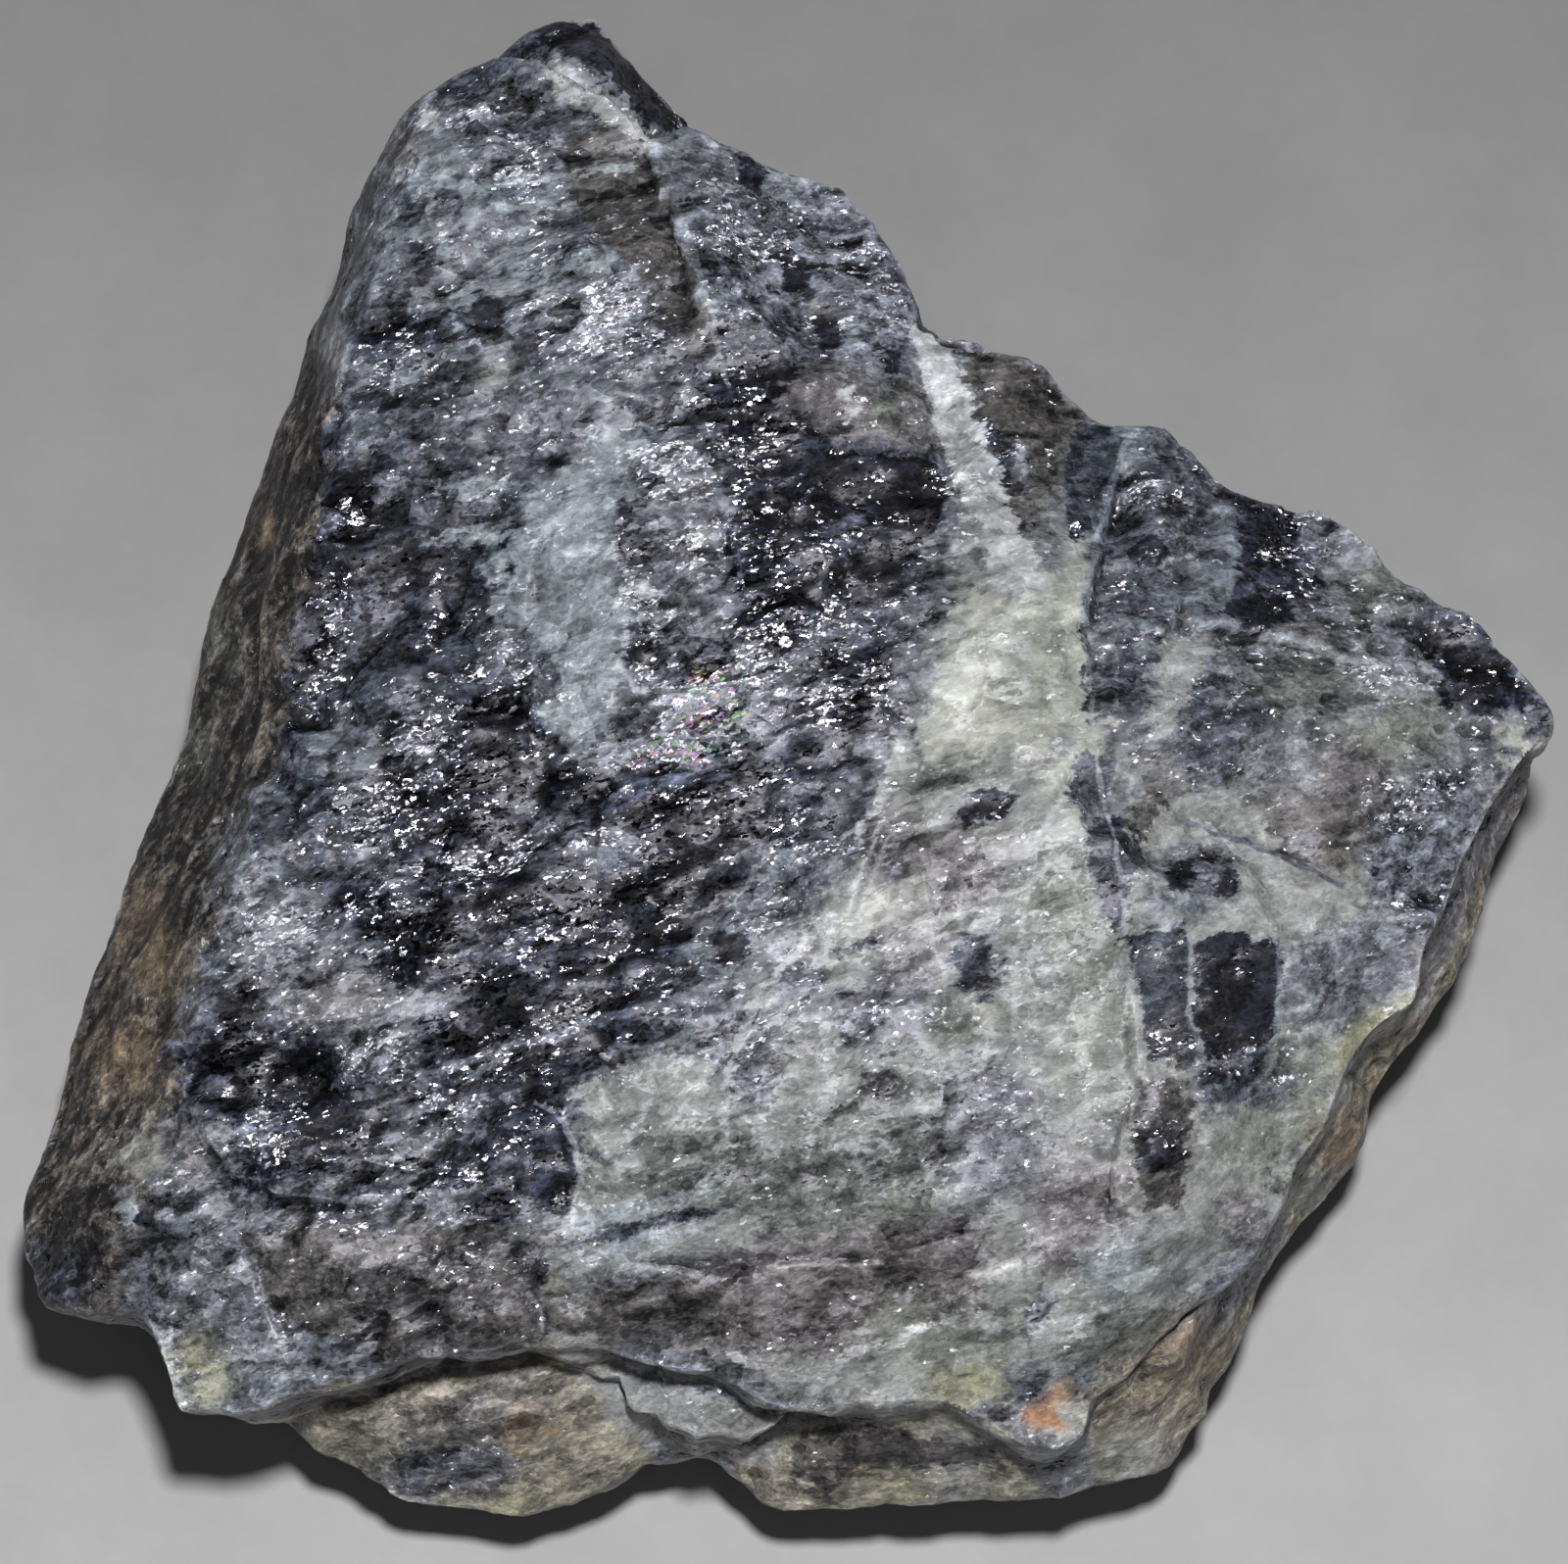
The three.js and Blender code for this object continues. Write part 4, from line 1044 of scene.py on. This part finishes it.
class Stone(Nodes):
    """Labradorite: dark glass to pale frosted bands, with glints on tiny cleavage faces."""

    def __init__(self):
        super().__init__("labradorite")
        self.lay_out()
        self.read_layers()
        self.draw_shapes()
        self.draw_threads()
        glint = self.glint()
        self.finish(self.add("BsdfPrincipled", {
            "Base Color": self.with_painted_glints(self.colour()), "Roughness": self.roughness(glint),
            "Normal": self.normal(glint), "IOR": STONE_IOR, "Specular Tint": (*SHEEN_TINT, 1.0)}))

    def lay_out(self):
        """The frames of the patterns, drawn out along the cleavage, and the crystal cells."""
        self.place = self.scaled(self.add("TexCoord").outputs["Object"], 1 / MM)
        turn = self.add("Mapping", {"Vector": self.place, "Rotation": (0, 0, -CLEAVAGE_ANGLE)})
        self.along = turn.outputs["Vector"]
        scale, detail = DRIFT_NOISE
        drift = self.add("TexNoise", {"Vector": self.place, "Scale": scale, "Detail": detail})
        wander = self.vector("SUBTRACT", drift.outputs["Color"], (0.5, 0.5, 0.5))
        bent = self.vector("ADD", self.along, self.scaled(wander, 0.35))
        slight = self.vector("ADD", self.along, self.scaled(wander, 0.12))
        self.drawn = self.vector("MULTIPLY", bent, (0.22, 1.0, 1.0))
        self.leaning = self.vector("MULTIPLY", bent, (1.0, 0.3, 1.0))
        self.grain = self.vector("MULTIPLY", bent, (0.45, 1.0, 1.0))
        self.calm = self.vector("MULTIPLY", slight, (0.55, 1.0, 1.0))
        self.domains = self.cells(self.calm, DOMAIN_CELLS)
        self.coarse = self.cells(self.calm, COARSE_CELLS)
        self.middle = self.cells(self.grain, MIDDLE_CELLS)
        self.fine = self.cells(self.grain, FINE_CELLS)

    def read_layers(self):
        """What the mesh carries: two paintings, of which each grain shows one."""
        choice = self.ranged(self.noise(self.grain, *CHOICE_NOISE), 0.49, 0.56)
        self.tone = self.blend(choice, self.layer("tone"), self.layer("other_tone"))
        hues = self.layer("hue", "Color"), self.layer("other_hue", "Color")
        self.hue = self.blend_colours(choice, *hues)
        self.glints = self.layer("glints")
        self.mottling = self.layer("mottling")
        self.skin = self.layer("skin")
        self.wobble = self.math("SUBTRACT", self.noise(self.grain, *WOBBLE_NOISE), 0.5)

    def cover(self, share, row):
        """Lays a look's hue and tone over what is there."""
        self.tone = self.blend(share, self.tone, row[TONE])
        self.hue = self.blend_colours(share, self.hue, (*row[:TONE], 1))

    def draw_shapes(self):
        """Lays the crisp shapes over the paintings, with borders that wobble."""
        for look in CRISP_LOOKS:
            row = Paint.row(look)
            depth = self.math("MULTIPLY_ADD", self.wobble, CRISP_WOBBLE, self.layer("in_" + look))
            share = self.ranged(depth, -CRISP_EDGE, CRISP_EDGE, 0.0, CRISP_COVER)
            self.cover(share, row)
            self.glints = self.blend(share, self.glints, row[GLINTS])
            self.mottling = self.blend(share, self.mottling, row[MOTTLING])
            self.skin = self.blend(share, self.skin, row[SKIN])

    def draw_threads(self):
        """Lays the thin lines over the shapes."""
        for look in THREAD_LOOKS:
            beside = self.math("MULTIPLY_ADD", self.wobble, 2.0, self.layer("beside_" + look))
            thin = self.ranged(self.math("ABSOLUTE", beside), 0.6, 1.3, 1.0, 0.0)
            near = self.math("MULTIPLY_ADD", self.wobble, THREAD_WOBBLE, self.layer("near_" + look))
            reach = self.ranged(near, THREAD_REACH - THREAD_FADE, THREAD_REACH, THREAD_COVER, 0.0)
            self.cover(self.math("MULTIPLY", thin, reach), Paint.row(look))

    def colour(self):
        """The paint, made lighter and darker by clouds, wisps and grains."""
        cloud = self.math("SUBTRACT", self.noise(self.place, *CLOUD_NOISE), 0.5)
        change = self.math("MULTIPLY", cloud, self.math("MULTIPLY_ADD", self.tone, 0.8, 0.3))
        hairline = self.ranged(self.edge_distance(self.calm, COARSE_CELLS), 0.0, 0.07, 1.0, 0.0)
        some = self.ranged(self.noise(self.place, *HAIRLINE_NOISE), 0.5, 0.62)
        fields = {
            "wisps": self.ranged(self.noise(self.drawn, *WISP_NOISE), 0.5, 0.72),
            "cross wisps": self.ranged(self.noise(self.leaning, *CROSS_NOISE), 0.54, 0.74),
            "domains": self.channel(self.domains, "Red"),
            "coarse": self.channel(self.coarse, "Red"),
            "middle": self.channel(self.middle, "Red"),
            "fine": self.channel(self.fine, "Green"),
            # Lighter on frosted ridges, painted shade in creases.
            "ridges_and_crease_shade": self.layer("ridge_and_crease_shade"),
            "hairlines": self.math("MULTIPLY", hairline, some),
        }
        for name, field in fields.items():
            change = self.math("MULTIPLY_ADD", field, LIGHTENING[name], change)
        change = self.math("SUBTRACT", change, EVEN_LIGHTNESS)
        lightness = self.math("MULTIPLY_ADD", change, self.mottling, self.tone)
        lightness = self.math("MINIMUM", self.math("MAXIMUM", lightness, DARKEST), LIGHTEST)
        return self.scaled(self.hue, self.math("POWER", lightness, GAMMA))

    def with_painted_glints(self, colour):
        """The colour, with painted iridescent glints: a few grains painted in vivid colours of their own.
        """
        few = self.ranged(self.channel(self.fine, "Red"), 0.72, 0.76)
        # Painted glints: these few grains take a vivid colour in the base colour.
        painted_glint = self.math("MULTIPLY", self.layer("painted_glint"), few)
        vivid = self.add("HueSaturation", {"Color": self.middle, "Saturation": 0.75, "Value": 0.5})
        return self.blend_colours(painted_glint, colour, vivid.outputs["Color"])

    def glint(self):
        """1 on the grains that glitter, which lie in clusters and in steps along the cleavage."""
        cluster = self.ranged(self.noise(self.drawn, *CLUSTER_NOISE), 0.42, 0.62, LONE_GLINTS, 1.0)
        share = self.math("MULTIPLY", self.math("MULTIPLY", self.glints, self.glints), cluster)
        steps = self.add("TexWave", {
            "Vector": self.along, "Scale": WAVE_SCALE / GLARE_STEP, "Distortion": 5.0,
            "Detail": 3.0, "Detail Scale": 1.5}, bands_direction="Y")
        ladder = self.ranged(steps.outputs["Fac"], 0.3, 0.8, 0.3, 1.3)
        share = self.math("MULTIPLY_ADD", self.layer("glare"), ladder, share)
        large_share = self.math("MULTIPLY", share, LARGE_GLINTS)
        small_share = self.math("MULTIPLY_ADD", share, SMALL_GLINTS, STRAY_GLINTS)
        large = self.math("SUBTRACT", large_share, self.channel(self.middle, "Green"))
        small = self.math("SUBTRACT", small_share, self.channel(self.fine, "Blue"))
        return self.ranged(self.math("MAXIMUM", large, small), -0.02, 0.02)

    def normal(self, glint):
        """The surface's direction: each grain leans its own way, and those that glitter lie level."""
        tilt = (0, 0, 0)
        grains = (self.domains, self.coarse, self.middle, self.fine)
        for layer, steepness in zip(grains, GRAIN_STEEPNESS):
            lean = self.vector("SUBTRACT", layer, (0.5, 0.5, 0.5))
            tilt = self.vector("ADD", self.scaled(lean, steepness), tilt)
        steeper = GLINT_STEEPNESS - PLAIN_STEEPNESS
        tilt = self.scaled(tilt, self.math("MULTIPLY_ADD", glint, steeper, PLAIN_STEEPNESS))
        surface = self.add("NewGeometry").outputs["Normal"]
        pull = self.math("MULTIPLY_ADD", self.layer("glare"), 0.2, 0.62)
        plane = self.blend_vectors(self.math("MULTIPLY", glint, pull), surface, CLEAVAGE_UP)
        normal = self.vector("NORMALIZE", self.vector("ADD", plane, tilt))
        pits = self.noise(self.place, *PIT_NOISE)
        strength = self.math("MULTIPLY_ADD", self.skin, 0.8, 0.1)
        bump = self.add("Bump", {
            "Height": pits, "Normal": normal, "Distance": PIT_DEPTH * MM, "Strength": strength})
        return bump.outputs["Normal"]

    def roughness(self, glint):
        """Dull skin and stone, and keen grains where it glitters."""
        rougher = SKIN_ROUGHNESS - STONE_ROUGHNESS
        dull = self.math("MULTIPLY_ADD", self.skin, rougher, STONE_ROUGHNESS)
        softer = PALE_GLINT_ROUGHNESS - GLINT_ROUGHNESS
        keen = self.math("MULTIPLY_ADD", self.tone, softer, GLINT_ROUGHNESS)
        return self.blend(glint, dull, keen)


def paper_material():
    """The pale sheet of paper under the stone, painted paler in front and darker behind as painted light
    falloff.
    """
    nodes = Nodes("paper")
    place = nodes.scaled(nodes.add("TexCoord").outputs["Object"], 1 / MM)
    cloud = nodes.noise(place, 0.12, 4.0)
    fibre = nodes.noise(place, 1.2, 3.0)
    height = nodes.add("SeparateXYZ", {"Vector": place}).outputs["Y"]
    # Painted light falloff: the paper is painted paler in front and darker towards the back.
    painted_falloff = nodes.ranged(height, -PAPER_REACH, PAPER_REACH, PAINTED_LIGHT_NEAR, PAINTED_SHADE_FAR)
    shade = nodes.math("MULTIPLY", painted_falloff, nodes.ranged(cloud, 0.2, 0.8, 0.94, 1.06))
    shade = nodes.math("MULTIPLY", shade, nodes.ranged(fibre, 0.2, 0.8, 0.985, 1.015))
    colour = nodes.scaled((1.0, 0.985, 0.985), shade)
    nodes.finish(nodes.add("BsdfPrincipled", {"Base Color": colour, "Roughness": 0.9}))
    return nodes.material


def floor(half):
    """A square sheet of paper at the height that the stone rests on."""
    mesh = bpy.data.meshes.new("floor")
    corners = [(-half, -half, 0), (half, -half, 0), (half, half, 0), (-half, half, 0)]
    mesh.from_pydata(corners, [], [(0, 1, 2, 3)])
    mesh.materials.append(paper_material())
    sheet = bpy.data.objects.new("floor", mesh)
    bpy.context.scene.collection.objects.link(sheet)
    return sheet


def lighting():
    """The lamps and the room's weak even light."""
    for name, place, size, power in LAMPS:
        data = bpy.data.lights.new(name, "AREA")
        data.shape = "DISK"
        data.size = size
        data.energy = power
        light = bpy.data.objects.new(name, data)
        light.location = place
        light.rotation_euler = (LAMP_TARGET - light.location).to_track_quat("-Z", "Y").to_euler()
        bpy.context.scene.collection.objects.link(light)
    world = bpy.data.worlds.new("room")
    world.use_nodes = True
    background = world.node_tree.nodes["Background"].inputs
    background["Color"].default_value = (*ROOM_COLOUR, 1)
    background["Strength"].default_value = ROOM_STRENGTH
    bpy.context.scene.world = world
    bpy.context.scene.view_settings.view_transform = "Standard"


def camera():
    """Looks down at the stone as the photograph does."""
    data = bpy.data.cameras.new("camera")
    data.sensor_width = SENSOR
    data.lens = SENSOR * VIEW_DISTANCE / (PHOTO_COLUMNS * PIXEL)
    data.clip_start = 0.01
    lens = bpy.data.objects.new("camera", data)
    across = (PHOTO_COLUMNS / 2 - CHUNK_MIDDLE[0]) * PIXEL
    upward = (CHUNK_MIDDLE[1] - PHOTO_ROWS / 2) * PIXEL
    lens.location = (EYE + ASIDE * across + ABOVE * upward) * MM
    lens.rotation_euler = AHEAD.to_track_quat("-Z", "Y").to_euler()
    bpy.context.scene.collection.objects.link(lens)
    bpy.context.scene.camera = lens


noise.seed_set(7)
camera()
lighting()
floor(FLOOR_HALF)
stone = chunk()
stone.data.materials.append(Stone().material)
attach(stone, "root")
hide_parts(NODE)
